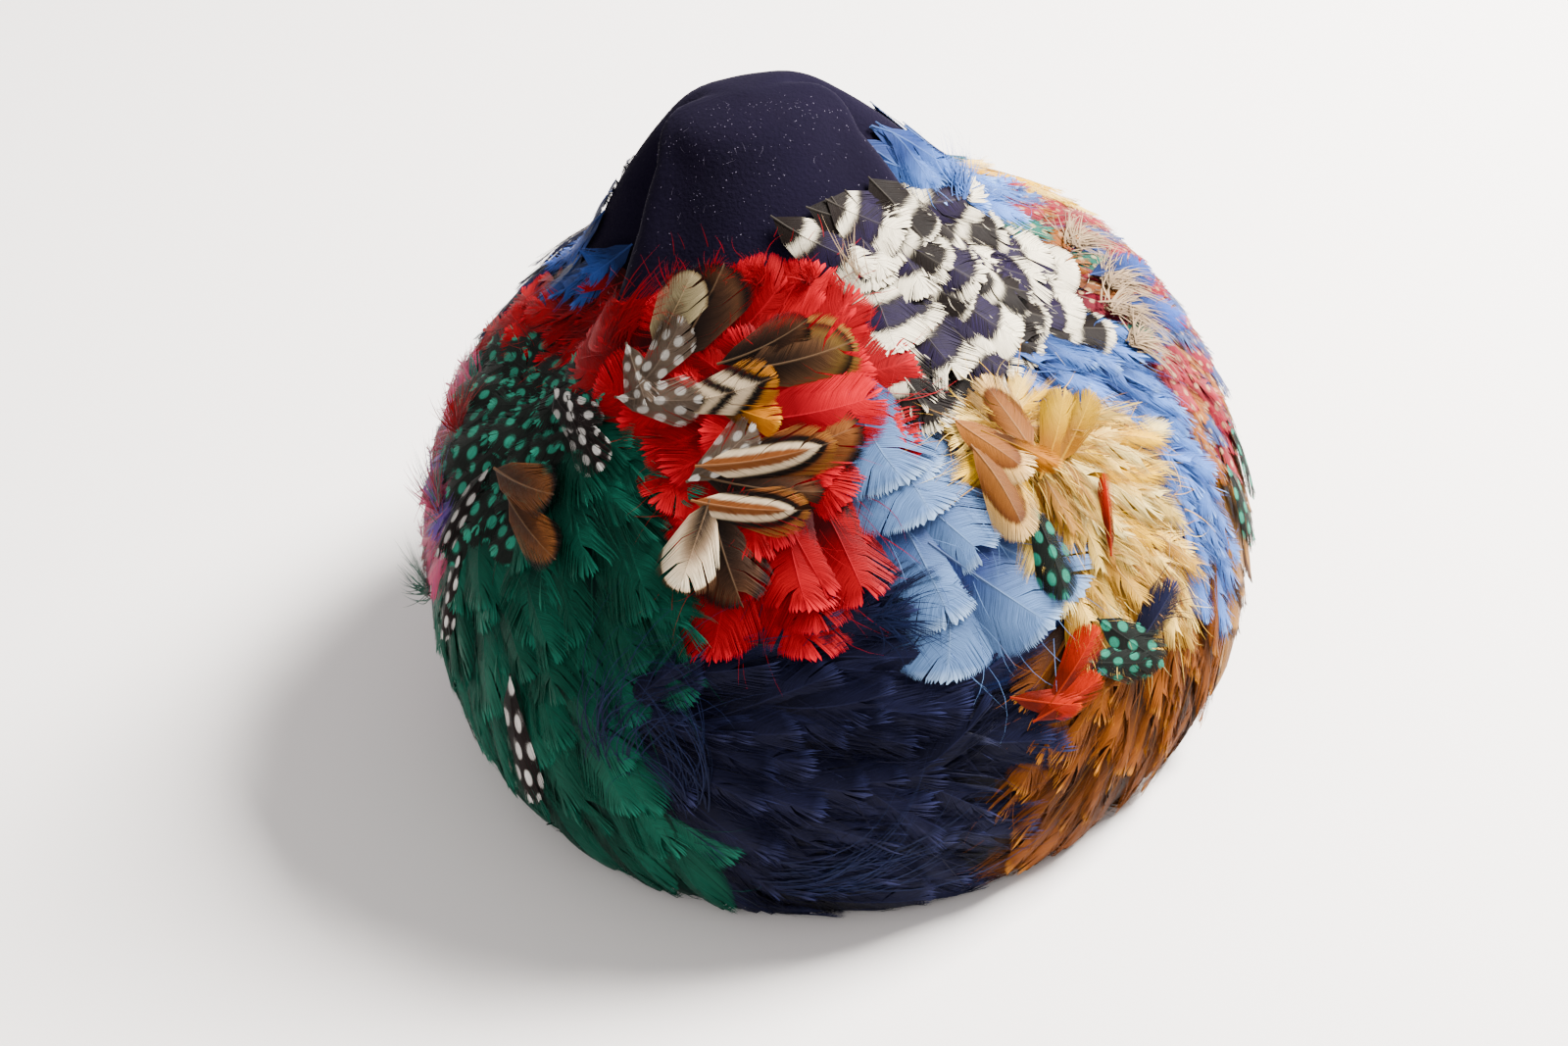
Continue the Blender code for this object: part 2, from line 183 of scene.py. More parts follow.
# How the feathers of each block lie. They point away from (angle, level) by the radial share and along the
# sweep heading for the rest. Spacing, length, width and rise, which is the height of the roots over the felt,
# are in millimetres. rag is how far barbs end early and split, hair is how soon they thin, curl is the
# sideways bend as a share of the length, and loose is the share of single strands.
Block = namedtuple(
    "Block", "look slot angle level radial sweep spacing length width rise rag hair curl loose")
BLOCKS = {
    "red_feathers": Block(
        "red", "red_feather", -13, 8.7, 0.95, 10, 12.0, 46, 31, 0.8, 0.16, 0.22, 0.08, 0.5),
    "green_feathers": Block(
        "green", "green_feather", -72, 7.8, 0.80, 30, 12.0, 54, 27, 0.4, 0.30, 0.34, 0.08, 0.4),
    "navy_feathers": Block(
        "navy", "navy_feather", -34, 5.0, 0.75, 85, 10.5, 54, 19, 0.5, 0.40, 0.55, 0.12, 0.7),
    "light_blue_feathers": Block(
        "light_blue", "light_blue_feather", 9, 8.6, 0.90, 45, 15.0, 46, 36, 1.4, 0.10, 0.18, 0.06, 0.3),
    "tan_feathers": Block(
        "tan", "tan_feather", 38, 7.4, 0.90, 30, 7.5, 32, 12, 1.6, 0.60, 0.85, 0.14, 1.0),
    "orange_rim_feathers": Block(
        "orange", "orange_feather", 46, 5.2, 0.30, -50, 9.0, 36, 14, 0.4, 0.45, 0.50, 0.10, 0.6),
    "barred_feathers": Block(
        "barred", "barred_feather", 40, 11.6, 0.60, 40, 11.5, 32, 25, 0.9, 0.20, 0.20, 0.03, 0.2),
    "blue_side_feathers": Block(
        "sky", "light_blue_feather", 57, 9.0, 0.40, 10, 8.0, 28, 12, 0.4, 0.50, 0.60, 0.08, 0.4),
    "rose_side_feathers": Block(
        "rose", "rose_feather", 96, 9.6, 0.60, 0, 8.5, 27, 15, 0.6, 0.30, 0.35, 0.06, 0.6),
    "gold_side_feathers": Block(
        "gold", "gold_feather", 84, 6.5, 0.50, 0, 11.0, 34, 19, 0.3, 0.20, 0.20, 0.04, 0.2),
    "spotted_green_feathers": Block(
        "green_dots", "spotted_feather", -62, 8.6, 0.75, -20, 9.5, 30, 20, 0.8, 0.15, 0.15, 0.04, 0.1),
    "wine_side_feathers": Block(
        "wine", "wine_feather", -82, 6.8, 0.60, -60, 10.0, 34, 17, 0.4, 0.60, 0.80, 0.14, 1.4),
    "blue_crown_feathers": Block(
        "blue", "blue_feather", -80, 10.6, 0.90, -20, 8.0, 21, 13, 0.2, 0.45, 0.60, 0.08, 0.6),
    "red_crown_feathers": Block(
        "red", "red_feather", -72, 10.0, 0.70, -60, 8.5, 24, 15, 0.3, 0.45, 0.60, 0.08, 0.6),
    "pale_blue_back_feathers": Block(
        "sky", "light_blue_feather", 96, 11.8, 0.70, 40, 9.5, 34, 18, 0.2, 0.45, 0.50, 0.08, 0.5),
    "tan_back_feathers": Block(
        "tan", "tan_feather", 134, 7.6, 0.85, 0, 10.5, 38, 17, 0.8, 0.50, 0.75, 0.10, 0.8),
    "green_back_feathers": Block(
        "green", "green_feather", 170, 8.6, 0.80, 0, 13.0, 50, 28, 0.4, 0.30, 0.25, 0.06, 0.4),
    "red_back_feathers": Block(
        "red", "red_feather", 176, 11.8, 0.70, 0, 12.0, 42, 27, 0.3, 0.30, 0.25, 0.05, 0.5),
    "navy_back_feathers": Block(
        "navy", "navy_feather", -138, 8.2, 0.80, 0, 12.5, 50, 24, 0.1, 0.35, 0.50, 0.08, 0.5),
}

# Single marked feathers laid over the blocks, each with the middle of its shaft at (angle, level).
# Sizes are in millimetres, lift is the height of the tip over the felt, less OVER_BLOCK.
Marked = namedtuple("Marked", "look over angle level heading length width lift")
MARKED = (
    Marked("bark", "red_feathers", -29, 10.1, 165, 30, 22, 5.0),
    Marked("olive", "red_feathers", -38, 10.1, 170, 24, 17, 5.6),
    Marked("grey_dots", "red_feathers", -39, 9.5, 160, 24, 14, 6.0),
    Marked("grey_dots", "red_feathers", -38, 8.9, 100, 26, 15, 6.0),
    Marked("grey_dots", "red_feathers", -46, 9.2, 40, 20, 12, 5.4),
    Marked("fan", "red_feathers", 0, 9.5, 95, 30, 24, 5.4),
    Marked("bark", "red_feathers", -9, 9.7, 110, 26, 14, 5.0),
    Marked("arrow", "red_feathers", -21, 9.1, 106, 30, 17, 6.4),
    Marked("amber", "red_feathers", -15, 8.9, 70, 20, 12, 5.6),
    Marked("scarlet", "red_feathers", 1, 8.8, 92, 36, 26, 5.6),
    Marked("copper", "red_feathers", -4, 8.3, 100, 34, 20, 5.2),
    Marked("stripes", "red_feathers", -11, 8.2, 98, 36, 15, 6.2),
    Marked("bark", "red_feathers", -12, 7.8, 80, 34, 16, 5.4),
    Marked("stripes", "red_feathers", -14, 7.5, 84, 32, 14, 6.4),
    Marked("grey_dots", "red_feathers", -20, 8.2, 130, 22, 12, 5.4),
    Marked("bark", "red_feathers", -18, 6.9, 20, 30, 22, 5.2),
    Marked("oval", "red_feathers", -23, 7.0, -12, 27, 19, 6.4),
    Marked("white_dots", "green_feathers", -59, 8.2, 90, 26, 14, 5.6),
    Marked("white_dots", "green_feathers", -53, 8.0, 60, 28, 14, 6.0),
    Marked("copper", "green_feathers", -60, 7.0, 100, 28, 16, 5.6),
    Marked("copper", "green_feathers", -54, 6.6, 75, 28, 15, 5.4),
    Marked("white_dots", "green_feathers", -71, 6.1, 0, 34, 12, 5.2),
    Marked("white_dots", "green_feathers", -69, 5.3, 5, 26, 11, 5.0),
    Marked("white_dots", "green_feathers", -53, 4.3, 8, 36, 15, 5.6),
    Marked("petal", "tan_feathers", 39, 7.6, 170, 24, 15, 6.0),
    Marked("petal", "tan_feathers", 31, 7.4, 20, 28, 15, 6.2),
    Marked("petal", "tan_feathers", 28, 6.9, 0, 30, 15, 6.6),
    Marked("amber", "tan_feathers", 35, 7.2, 30, 24, 8, 6.4),
    Marked("yellow", "tan_feathers", 42, 7.1, 120, 26, 12, 6.2),
    Marked("yellow", "tan_feathers", 46, 7.0, 110, 24, 10, 6.4),
    Marked("flame", "tan_feathers", 41, 6.0, 150, 20, 5, 6.4),
    Marked("green_dots", "tan_feathers", 30, 6.0, -10, 30, 13, 6.4),
    Marked("green_dots", "orange_rim_feathers", 37, 4.8, 30, 24, 15, 6.2),
    Marked("green_dots", "orange_rim_feathers", 34, 4.7, 60, 22, 12, 6.0),
    Marked("navy", "orange_rim_feathers", 41, 4.8, 110, 28, 12, 6.0),
    Marked("flame", "orange_rim_feathers", 28, 4.9, 120, 24, 11, 6.0),
    Marked("flame", "orange_rim_feathers", 26, 4.6, 95, 22, 10, 5.8),
    Marked("flame", "orange_rim_feathers", 23, 4.7, 60, 20, 9, 5.4),
    Marked("blue", "rose_side_feathers", 84, 6.7, 30, 28, 15, 5.2),
    Marked("blue", "rose_side_feathers", 92, 7.0, 40, 28, 15, 5.2),
    Marked("green_dots", "gold_side_feathers", 72, 4.6, 0, 26, 14, 5.4),
    Marked("green_dots", "gold_side_feathers", 80, 4.7, 0, 26, 14, 5.4),
)

# Tufts of loose barbs, each from one spot. fan is the spread of their headings in degrees, curl is half the
# angle that they bend through, in radians, and length, lift and width are in millimetres.
Wisp = namedtuple("Wisp", "look over angle level heading length fan count curl lift width")
WISPS = (
    Wisp("red", "red_feathers", -54, 9.6, 186, 24, 14, 90, 0.9, 3, 0.34),
    Wisp("red", "red_feathers", -38, 10.3, 200, 10, 50, 90, 0.9, 2, 0.34),
    Wisp("red", "red_feathers", -24, 10.5, 190, 9, 60, 90, 0.9, 2, 0.34),
    Wisp("red", "red_feathers", -8, 10.5, 176, 9, 60, 90, -0.9, 2, 0.34),
    Wisp("red", "red_feathers", 8, 10.4, 160, 8, 60, 80, -0.9, 2, 0.34),
    Wisp("slate", "navy_feathers", -35, 4.6, 196, 50, 40, 40, 1.2, 10, 0.36),
    Wisp("slate", "navy_feathers", -24, 4.3, 172, 44, 30, 30, -1.1, 8, 0.36),
    Wisp("slate", "navy_feathers", -14, 3.2, 84, 56, 10, 44, -0.5, 3, 0.36),
    Wisp("slate", "navy_feathers", 4, 6.0, 100, 22, 60, 60, 0.6, 4, 0.3),
    Wisp("navy", "tan_feathers", 41, 4.8, 110, 20, 30, 30, 0.8, 4, 0.4),
    Wisp("down", "orange_rim_feathers", 44, 4.6, 160, 36, 12, 6, 0.5, 5, 0.3),
    Wisp("wine", "wine_side_feathers", -80, 5.8, -95, 20, 50, 80, 0.4, 9, 0.4),
    Wisp("green", "wine_side_feathers", -80, 4.8, -80, 18, 50, 70, 0.4, 8, 0.4),
    Wisp("red", "wine_side_feathers", -86, 6.6, -100, 17, 50, 70, 0.5, 8, 0.4),
    Wisp("sky", "pale_blue_back_feathers", 98, 9.6, 150, 18, 60, 70, 0.6, 8, 0.4),
    Wisp("down", "rose_side_feathers", 96, 7.6, 60, 20, 60, 90, 0.4, 2, 0.5),
    Wisp("down", "rose_side_feathers", 86, 7.2, 60, 20, 60, 90, 0.4, 2, 0.5),
    Wisp("down", "barred_feathers", 78, 7.2, 50, 18, 60, 80, 0.4, 2, 0.5),
    Wisp("down", "barred_feathers", 72, 6.9, 50, 16, 60, 70, 0.4, 2, 0.5),
    Wisp("down", "barred_feathers", 25, 10.3, 188, 16, 22, 12, 0.2, 4, 0.25),
)

# Main colour, tip colour and root colour of each plain look, in linear light. The dark root colour is painted
# shade where the feathers lie over each other.
PLAIN = {
    "red": ((0.298, 0.000, 0.005), (0.557, 0.000, 0.013), (0.033, 0.000, 0.001)),
    "scarlet": ((0.483, 0.000, 0.011), (0.644, 0.002, 0.021), (0.138, 0.000, 0.003)),
    "green": ((0.002, 0.072, 0.044), (0.005, 0.120, 0.075), (0.000, 0.012, 0.009)),
    "navy": ((0.008, 0.009, 0.031), (0.027, 0.031, 0.098), (0.002, 0.002, 0.007)),
    "slate": ((0.009, 0.015, 0.056), (0.032, 0.044, 0.120), (0.003, 0.004, 0.015)),
    "light_blue": ((0.102, 0.191, 0.395), (0.251, 0.383, 0.598), (0.017, 0.031, 0.120)),
    "sky": ((0.075, 0.175, 0.525), (0.200, 0.362, 0.775), (0.015, 0.037, 0.150)),
    "blue": ((0.027, 0.069, 0.300), (0.062, 0.138, 0.500), (0.007, 0.018, 0.075)),
    "yellow": ((0.430, 0.235, 0.000), (0.560, 0.330, 0.000), (0.220, 0.080, 0.000)),
    "amber": ((0.500, 0.160, 0.003), (0.800, 0.350, 0.010), (0.060, 0.018, 0.002)),
    "orange": ((0.160, 0.042, 0.004), (0.420, 0.150, 0.014), (0.022, 0.007, 0.002)),
    "flame": ((0.420, 0.012, 0.000), (0.600, 0.040, 0.000), (0.100, 0.004, 0.000)),
    "down": ((0.336, 0.228, 0.132), (0.576, 0.420, 0.276), (0.120, 0.078, 0.042)),
}

# Colours that a mixed block takes in turn from feather to feather, as main and tip colour
MIXED = {
    "tan": (
        ((0.620, 0.350, 0.040), (0.900, 0.620, 0.150)),
        ((0.340, 0.140, 0.014), (0.720, 0.400, 0.050)),
        ((0.700, 0.450, 0.090), (0.940, 0.740, 0.280)),
        ((0.110, 0.040, 0.010), (0.460, 0.210, 0.034)),
        ((0.660, 0.300, 0.002), (0.840, 0.480, 0.010)),
        ((0.560, 0.300, 0.030), (0.900, 0.600, 0.140))),
    "rose": (
        ((0.157, 0.002, 0.013), (0.304, 0.007, 0.026)),
        ((0.024, 0.046, 0.166), (0.060, 0.102, 0.276)),
        ((0.119, 0.027, 0.006), (0.350, 0.102, 0.011)),
        ((0.102, 0.002, 0.011), (0.258, 0.006, 0.022)),
        ((0.004, 0.046, 0.033), (0.009, 0.110, 0.074)),
        ((0.037, 0.006, 0.009), (0.313, 0.018, 0.031))),
    "wine": (
        ((0.143, 0.004, 0.026), (0.390, 0.009, 0.047)),
        ((0.047, 0.018, 0.143), (0.156, 0.078, 0.377)),
        ((0.260, 0.016, 0.065), (0.650, 0.078, 0.195)),
        ((0.003, 0.055, 0.042), (0.008, 0.124, 0.098))),
}

# Ground and dot colours of the dotted looks
DOTTED = {
    "white_dots": ((0.014, 0.009, 0.009), (0.66, 0.63, 0.60)),
    "grey_dots": ((0.150, 0.105, 0.075), (0.62, 0.58, 0.52)),
    "green_dots": ((0.009, 0.012, 0.010), (0.020, 0.230, 0.150)),
}

# Colours that several patterns share
BLACK = (0.008, 0.005, 0.004)
CREAM = (0.780, 0.600, 0.380)
RUST = (0.230, 0.070, 0.018)
BROWN = (0.060, 0.026, 0.012)

# Patterns: the line they follow, and their colour stops from root to tip or from middle to rim
PATTERNS = {
    "arrow": ("chevron", (
        (0.00, BROWN), (0.36, BLACK), (0.42, CREAM), (0.50, CREAM), (0.54, BLACK), (0.64, BLACK),
        (0.68, CREAM), (0.80, CREAM), (0.84, BLACK), (0.95, BLACK), (0.99, (0.45, 0.16, 0.01)))),
    "stripes": ("sides", (
        (0.00, RUST), (0.22, RUST), (0.30, CREAM), (0.44, CREAM), (0.52, BLACK), (0.70, BLACK),
        (0.80, RUST), (1.00, (0.30, 0.11, 0.02)))),
    "fan": ("rim", (
        (0.00, BLACK), (0.30, (0.10, 0.045, 0.02)), (0.55, (0.16, 0.085, 0.02)), (0.80, BLACK),
        (0.90, (0.26, 0.14, 0.03)), (1.00, (0.30, 0.16, 0.03)))),
    "oval": ("rim", (
        (0.00, BLACK), (0.16, (0.30, 0.20, 0.12)), (0.34, CREAM), (0.80, (0.86, 0.74, 0.52)), (0.94, CREAM),
        (1.00, BROWN))),
    "petal": ("rim", (
        (0.00, (0.26, 0.09, 0.015)), (0.30, (0.20, 0.065, 0.012)), (0.50, (0.12, 0.035, 0.008)),
        (0.60, (0.74, 0.42, 0.12)), (1.00, (0.80, 0.52, 0.20)))),
    "olive": ("rim", (
        (0.00, BROWN), (0.25, (0.26, 0.21, 0.11)), (0.80, (0.42, 0.34, 0.18)), (0.96, (0.20, 0.14, 0.07)),
        (1.00, BLACK))),
    "bark": ("rim", (
        (0.00, BLACK), (0.40, (0.050, 0.022, 0.012)), (0.70, (0.085, 0.035, 0.016)), (1.00, BLACK))),
    "copper": ("rim", (
        (0.00, (0.05, 0.02, 0.01)), (0.40, (0.17, 0.055, 0.015)), (0.72, (0.21, 0.07, 0.018)),
        (0.90, (0.06, 0.022, 0.01)), (1.00, BLACK))),
    "gold": ("rim", (
        (0.00, (0.14, 0.06, 0.009)), (0.40, (0.22, 0.09, 0.015)), (0.72, (0.34, 0.16, 0.03)), (0.86, BROWN),
        (1.00, BROWN))),
}


def section_at(level):
    """Section columns at any level, on a Catmull-Rom curve through the rows."""
    rows = np.array(SECTIONS)
    level = np.clip(np.asarray(level, dtype=float), 0, TOP_LEVEL)
    low = np.minimum(level.astype(int), TOP_LEVEL - 1)
    t = (level - low)[..., None]
    before = rows[np.maximum(low - 1, 0)]
    start = rows[low]
    end = rows[low + 1]
    after = rows[np.minimum(low + 2, TOP_LEVEL)]
    bend = 2 * before - 5 * start + 4 * end - after
    twist = 3 * start - before - 3 * end + after
    return start + 0.5 * t * (end - before + t * (bend + t * twist))


def fold(angle, level):
    """Share of the pleat: out at the crease and the ridge, in at the valley, and turned back at the tip."""
    side = np.abs((np.asarray(angle) + 180.0) % 360.0 - 180.0) - np.interp(level, *TIP_TURN)
    crease = CREASE_SHARE * np.exp(-(((side - CREASE_ANGLE) / FOLD_SPREAD) ** 2))
    valley = np.exp(-(((side - VALLEY_ANGLE) / FOLD_SPREAD) ** 2))
    ridge = RIDGE_SHARE * np.exp(-(((side - RIDGE_ANGLE) / FOLD_SPREAD) ** 2))
    return crease + ridge - valley


def felt_point(angle, level):
    """Point on the outer face of the felt at an angle and a level."""
    row = Section(*np.moveaxis(section_at(level), -1, 0))
    turn = np.radians(angle)
    reach = 1.0 + row.pleat * fold(angle, level)
    half_depth = (row.back - row.front) / 2
    middle = (row.back + row.front) / 2
    x = HALF_WIDTH * (row.lean + row.half_width * reach * np.sin(turn))
    y = HALF_WIDTH * (middle - half_depth * reach * np.cos(turn))
    z = HAT_HEIGHT * np.maximum(row.height, 0.0)
    return np.stack(np.broadcast_arrays(x, y, z), axis=-1)


def unit(vectors):
    """Vectors of the same directions, one long."""
    return vectors / np.maximum(np.linalg.norm(vectors, axis=-1, keepdims=True), 1e-12)


def slopes(angle, level):
    """Change of the felt point for a degree of angle and for a level."""
    around = felt_point(angle + 0.5, level) - felt_point(angle - 0.5, level)
    upward = (felt_point(angle, level + 0.05) - felt_point(angle, level - 0.05)) / 0.1
    return around, upward


def surface_table():
    """Points and outward normals of the felt on a grid of a degree by LEVEL_STEP."""
    levels = np.arange(0, TOP_LEVEL + 0.01, LEVEL_STEP)
    angle, level = np.meshgrid(np.arange(-180, 181, 1.0), levels, indexing="ij")
    around, upward = slopes(angle, np.clip(level, 0.02, TOP_LEVEL - 0.06))
    return np.concatenate([felt_point(angle, level), unit(np.cross(around, upward))], axis=-1)


# Step of the table's levels, and the table itself
LEVEL_STEP = 0.05
TABLE = surface_table()
LEVELS = np.arange(TABLE.shape[1]) * LEVEL_STEP

# Mean length of felt from the lowest level up to each level of the table
CLIMBS = np.linalg.norm(np.diff(TABLE[..., :3], axis=1), axis=2).mean(axis=0)
PROFILE = np.concatenate([[0.0], CLIMBS.cumsum()])


def surface(angle, level):
    """Point and outward normal at any angle and level, blended from the table's four nearest entries."""
    a = (np.asarray(angle) + 180.0) % 360.0
    b = np.clip(np.asarray(level), 0, TOP_LEVEL) / LEVEL_STEP
    i = np.minimum(a.astype(int), TABLE.shape[0] - 2)
    j = np.minimum(b.astype(int), TABLE.shape[1] - 2)
    p = (a - i)[..., None]
    q = (b - j)[..., None]
    lower = TABLE[i, j] * (1 - p) + TABLE[i + 1, j] * p
    higher = TABLE[i, j + 1] * (1 - p) + TABLE[i + 1, j + 1] * p
    found = lower * (1 - q) + higher * q
    return found[..., :3], unit(found[..., 3:])


def block_of(points):
    """Index in CLUSTERS of the block whose cluster centre lies nearest to each point."""
    numbers = []
    centres = []
    for number, places in enumerate(CLUSTERS.values()):
        for angle, level in places:
            numbers.append(number)
            centres.append(felt_point(float(angle), float(level)))
    distance = np.linalg.norm(points[:, None, :] - np.array(centres)[None], axis=2)
    return np.array(numbers)[np.argmin(distance, axis=1)]


def in_block(name, angle, level):
    """Whether the felt at each angle and level belongs to a block, or is bare."""
    number = list(CLUSTERS).index(name)
    return (block_of(felt_point(angle, level).reshape(-1, 3)) == number).reshape(angle.shape)


def frame_at(angle, level):
    """Metres per degree at a spot, and the sideways lean and the climb of one level, in metres."""
    around, upward = slopes(angle, level)
    scale = np.linalg.norm(around, axis=-1)
    first = around / scale[..., None]
    lean = np.sum(upward * first, axis=-1)
    climb = np.linalg.norm(upward - lean[..., None] * first, axis=-1)
    return scale, lean, climb


def walk(angle, level, right, up, frame=None):
    """Angle and level after a walk on the felt by lengths to the right and up, along the mean profile."""
    scale, lean, climb = frame_at(angle, level) if frame is None else frame
    share = up / climb
    metres = np.interp(level + 0.5, LEVELS, PROFILE) - np.interp(level - 0.5, LEVELS, PROFILE)
    reached = np.interp(np.interp(level, LEVELS, PROFILE) + share * metres, PROFILE, LEVELS)
    return angle + (right - lean * share) / scale, reached


def shaped(f, axes):
    """The same feathers, with their columns shaped to spread over further axes of a surface."""
    return Feathers(*[np.reshape(values, (-1,) + (1,) * axes) for values in f[:-1]], f.seed)


def leaving(share):
    """Share of the length at which a barb leaves the shaft, from its own share of the barbs."""
    return 0.02 + 0.95 * share ** 0.75


# Columns of many feathers or strands. angle, level and heading are those of the root end, root and tip are
# heights over the felt, and roll tilts the vane from side to side. The seed is one number for all of them.
Feathers = namedtuple("Feathers", "angle level heading length width root tip rag hair curl roll seed")


def barb_strips(f, barbs):
    """Vanes of many feathers as strips, one for each barb.

    A barb leaves the shaft at a share of the length and runs outwards, then forwards, to the outline, whose
    half width is v^0.55 (1 - v^4)^0.5 of the full one at a share v. The edges of a strip are the lines half
    a barb to each side, so neighbours meet, and they draw together to a hair at the end of the barb. Bunches
    of barbs cling together.
    """
    rng = np.random.default_rng(f.seed)
    n = len(f.angle)
    t = np.array(BARB_STEPS).reshape(1, 1, 1, -1, 1)
    shape = (n, 2, barbs, t.size, 2)
    g = shaped(f, 4)
    side = np.array([1.0, -1.0]).reshape(1, 2, 1, 1, 1)
    edge = np.array([-1.0, 1.0]).reshape(1, 1, 1, 1, 2)
    number = np.arange(barbs).reshape(1, 1, barbs, 1, 1)
    fullness = 1.06 * (1.0 - 0.93 * t ** (30.0 - 28.6 * g.hair))
    start = leaving(np.clip((number + 0.5 + 0.5 * edge * fullness) / barbs, 0, 1))
    stop = start + BARB_REACH * (1.05 - start)
    bunch = rng.integers(9, 26, (n, 2, 1, 1, 1))
    group = np.floor(number / bunch + rng.random((n, 2, 1, 1, 1))) + 0.5
    cling = np.clip(g.rag * rng.uniform(0.0, 1.4, (n, 2, 1, 1, 1)), 0, 0.6)
    stop = stop + (leaving(np.clip(group * bunch / barbs, 0, 1)) - start) * cling * 0.4
    stop = np.clip(stop, start + 0.01, 1.0)
    loose = rng.normal(0, 1, (n, 2, barbs, 1, 1))
    half = stop ** 0.55 * (1.0 - stop ** 4) ** 0.5 / OUTLINE_PEAK
    own = 1.0 + g.rag * (0.10 * loose - 0.04)
    u = side * half * t ** 0.85 * own
    v = start + (stop - start) * t ** BARB_BEND * own
    v = v + np.where(t == 1.0, 0.012 + 0.02 * g.rag * loose, 0.0)
    u, v = np.broadcast_arrays(u, v)
    across = u * g.width / 2 + g.curl * g.length * v ** 2
    lift = g.root + (g.tip - g.root) * np.clip(v, 0, 1.1) ** 1.25 + g.roll * u * g.width / 2
    lift = lift - 0.09 * g.width * u ** 2 * np.clip(v * 1.4, 0, 1)
    lift = lift + 0.0010 * g.rag * loose * t ** 3 + edge * STRIP_TILT
    places = np.broadcast_arrays(across, v * g.length, np.maximum(lift, 0.0006), u / 2 + 0.5, v, t, start)
    places = [np.broadcast_to(p, shape) for p in places]
    index = np.arange(np.prod(shape)).reshape(shape)
    a, b, c, d = index[..., :-1, 0], index[..., 1:, 0], index[..., 1:, 1], index[..., :-1, 1]
    right = np.broadcast_to(side > 0, (n, 2, barbs, t.size - 1, 1))
    quads = np.where(right, np.stack([a, b, c, d], -1), np.stack([d, c, b, a], -1))
    feather = np.broadcast_to(np.arange(n).reshape(-1, 1, 1, 1, 1), shape)
    return [p.reshape(-1) for p in places], quads.reshape(-1, 4), feather.reshape(-1)


def strip_faces(f, places):
    """Faces between rows of points, and the number of the feather that each point belongs to."""
    places = np.broadcast_arrays(*places)
    index = np.arange(places[0].size).reshape(places[0].shape)
    quads = np.stack([index[:, :-1, :-1], index[:, :-1, 1:], index[:, 1:, 1:], index[:, 1:, :-1]], -1)
    feather = np.broadcast_to(np.arange(len(f.angle)).reshape(-1, 1, 1), index.shape)
    return [p.reshape(-1) for p in places], quads.reshape(-1, 4), feather.reshape(-1)


def shafts(f, steps=6):
    """Shafts of many feathers: a low ridge of two strips that narrows to the tip."""
    g = shaped(f, 2)
    v = (np.arange(steps + 1) / steps * 0.93).reshape(1, -1, 1)
    u = np.array([-1.0, 0.0, 1.0]).reshape(1, 1, 3)
    across = u * 0.00034 * (1.1 - v) + g.curl * g.length * v ** 2
    ridge = np.where(u == 0, 0.00030, 0.00004) * (1.15 - v)
    lift = g.root + (g.tip - g.root) * v ** 1.25 + ridge
    return strip_faces(f, (across, v * g.length, lift, 0.5 + 0 * u, v, 0 * u, v))


def strands(f, steps=5):
    """Loose single barbs: each a thin strip that bends sideways on an arc and lifts to its tip.

    The arc turns through twice the curl, in radians.
    """
    g = shaped(f, 2)
    t = (np.arange(steps + 1) / steps).reshape(1, -1, 1)
    edge = np.array([-1.0, 1.0]).reshape(1, 1, 2)
    turn = g.curl * t
    bend = g.length * t * np.sinc(turn / np.pi) * np.sin(turn)
    across = edge * g.width / 2 * (1.05 - t ** 2) + bend
    along = t * g.length * np.sinc(2 * turn / np.pi)
    lift = g.root + (g.tip - g.root) * t ** 1.5
    side = 0.5 + 0.3 * np.sign(g.roll) + 0 * t
    return strip_faces(f, (across, along, lift, side, 0.5 + 0.5 * t, t, 0.5 + edge * 0.01))


def laid_down(f, places, feather):
    """Carry feather lengths onto the felt: across and along the heading, then up by the lift.

    A degree and a level count for as much as they measure at SHOWN of the feather's length, where it shows,
    so that it ends where it was set. That spot is found in three rounds.
    """
    across, along, lift = places[:3]
    turn = np.radians(f.heading)
    heading = turn[feather]
    right = -np.cos(heading) * across + np.sin(heading) * along
    up = -np.sin(heading) * across - np.cos(heading) * along
    ahead = SHOWN * f.length
    spot = (f.angle, f.level)
    for _ in range(3):
        spot = walk(f.angle, f.level, ahead * np.sin(turn), -ahead * np.cos(turn), frame_at(*spot))
    frame = [column[feather] for column in frame_at(*spot)]
    angle, level = walk(f.angle[feather], f.level[feather], right, up, frame)
    return raised(angle, level, lift)


def raised(angle, level, lift):
    """Points over the felt by a lift, and never under LOWEST_FEATHER."""
    point, normal = surface(angle, level)
    point = point + normal * lift[:, None]
    point[:, 2] = np.maximum(point[:, 2], LOWEST_FEATHER)
    return point


def build_mesh(name, points, quads, uvs=(), values=()):
    """Mesh object from arrays, with UV maps and point values."""
    mesh = bpy.data.meshes.new(name)
    mesh.vertices.add(len(points))
    mesh.vertices.foreach_set("co", np.ascontiguousarray(points, dtype=np.float32).reshape(-1))
    mesh.loops.add(quads.size)
    mesh.loops.foreach_set("vertex_index", quads.reshape(-1).astype(np.int32))
    mesh.polygons.add(len(quads))
    mesh.polygons.foreach_set("loop_start", np.arange(0, quads.size, quads.shape[1], dtype=np.int32))
    mesh.update(calc_edges=True)
    mesh.polygons.foreach_set("use_smooth", np.ones(len(quads), dtype=bool))
    for label, uv in uvs:
        layer = mesh.uv_layers.new(name=label)
        layer.data.foreach_set("uv", uv[quads.reshape(-1)].astype(np.float32).reshape(-1))
    for label, value in values:
        attribute = mesh.attributes.new(label, "FLOAT", "POINT")
        attribute.data.foreach_set("value", value.astype(np.float32))
    obj = bpy.data.objects.new(name, mesh)
    bpy.context.scene.collection.objects.link(obj)
    return obj


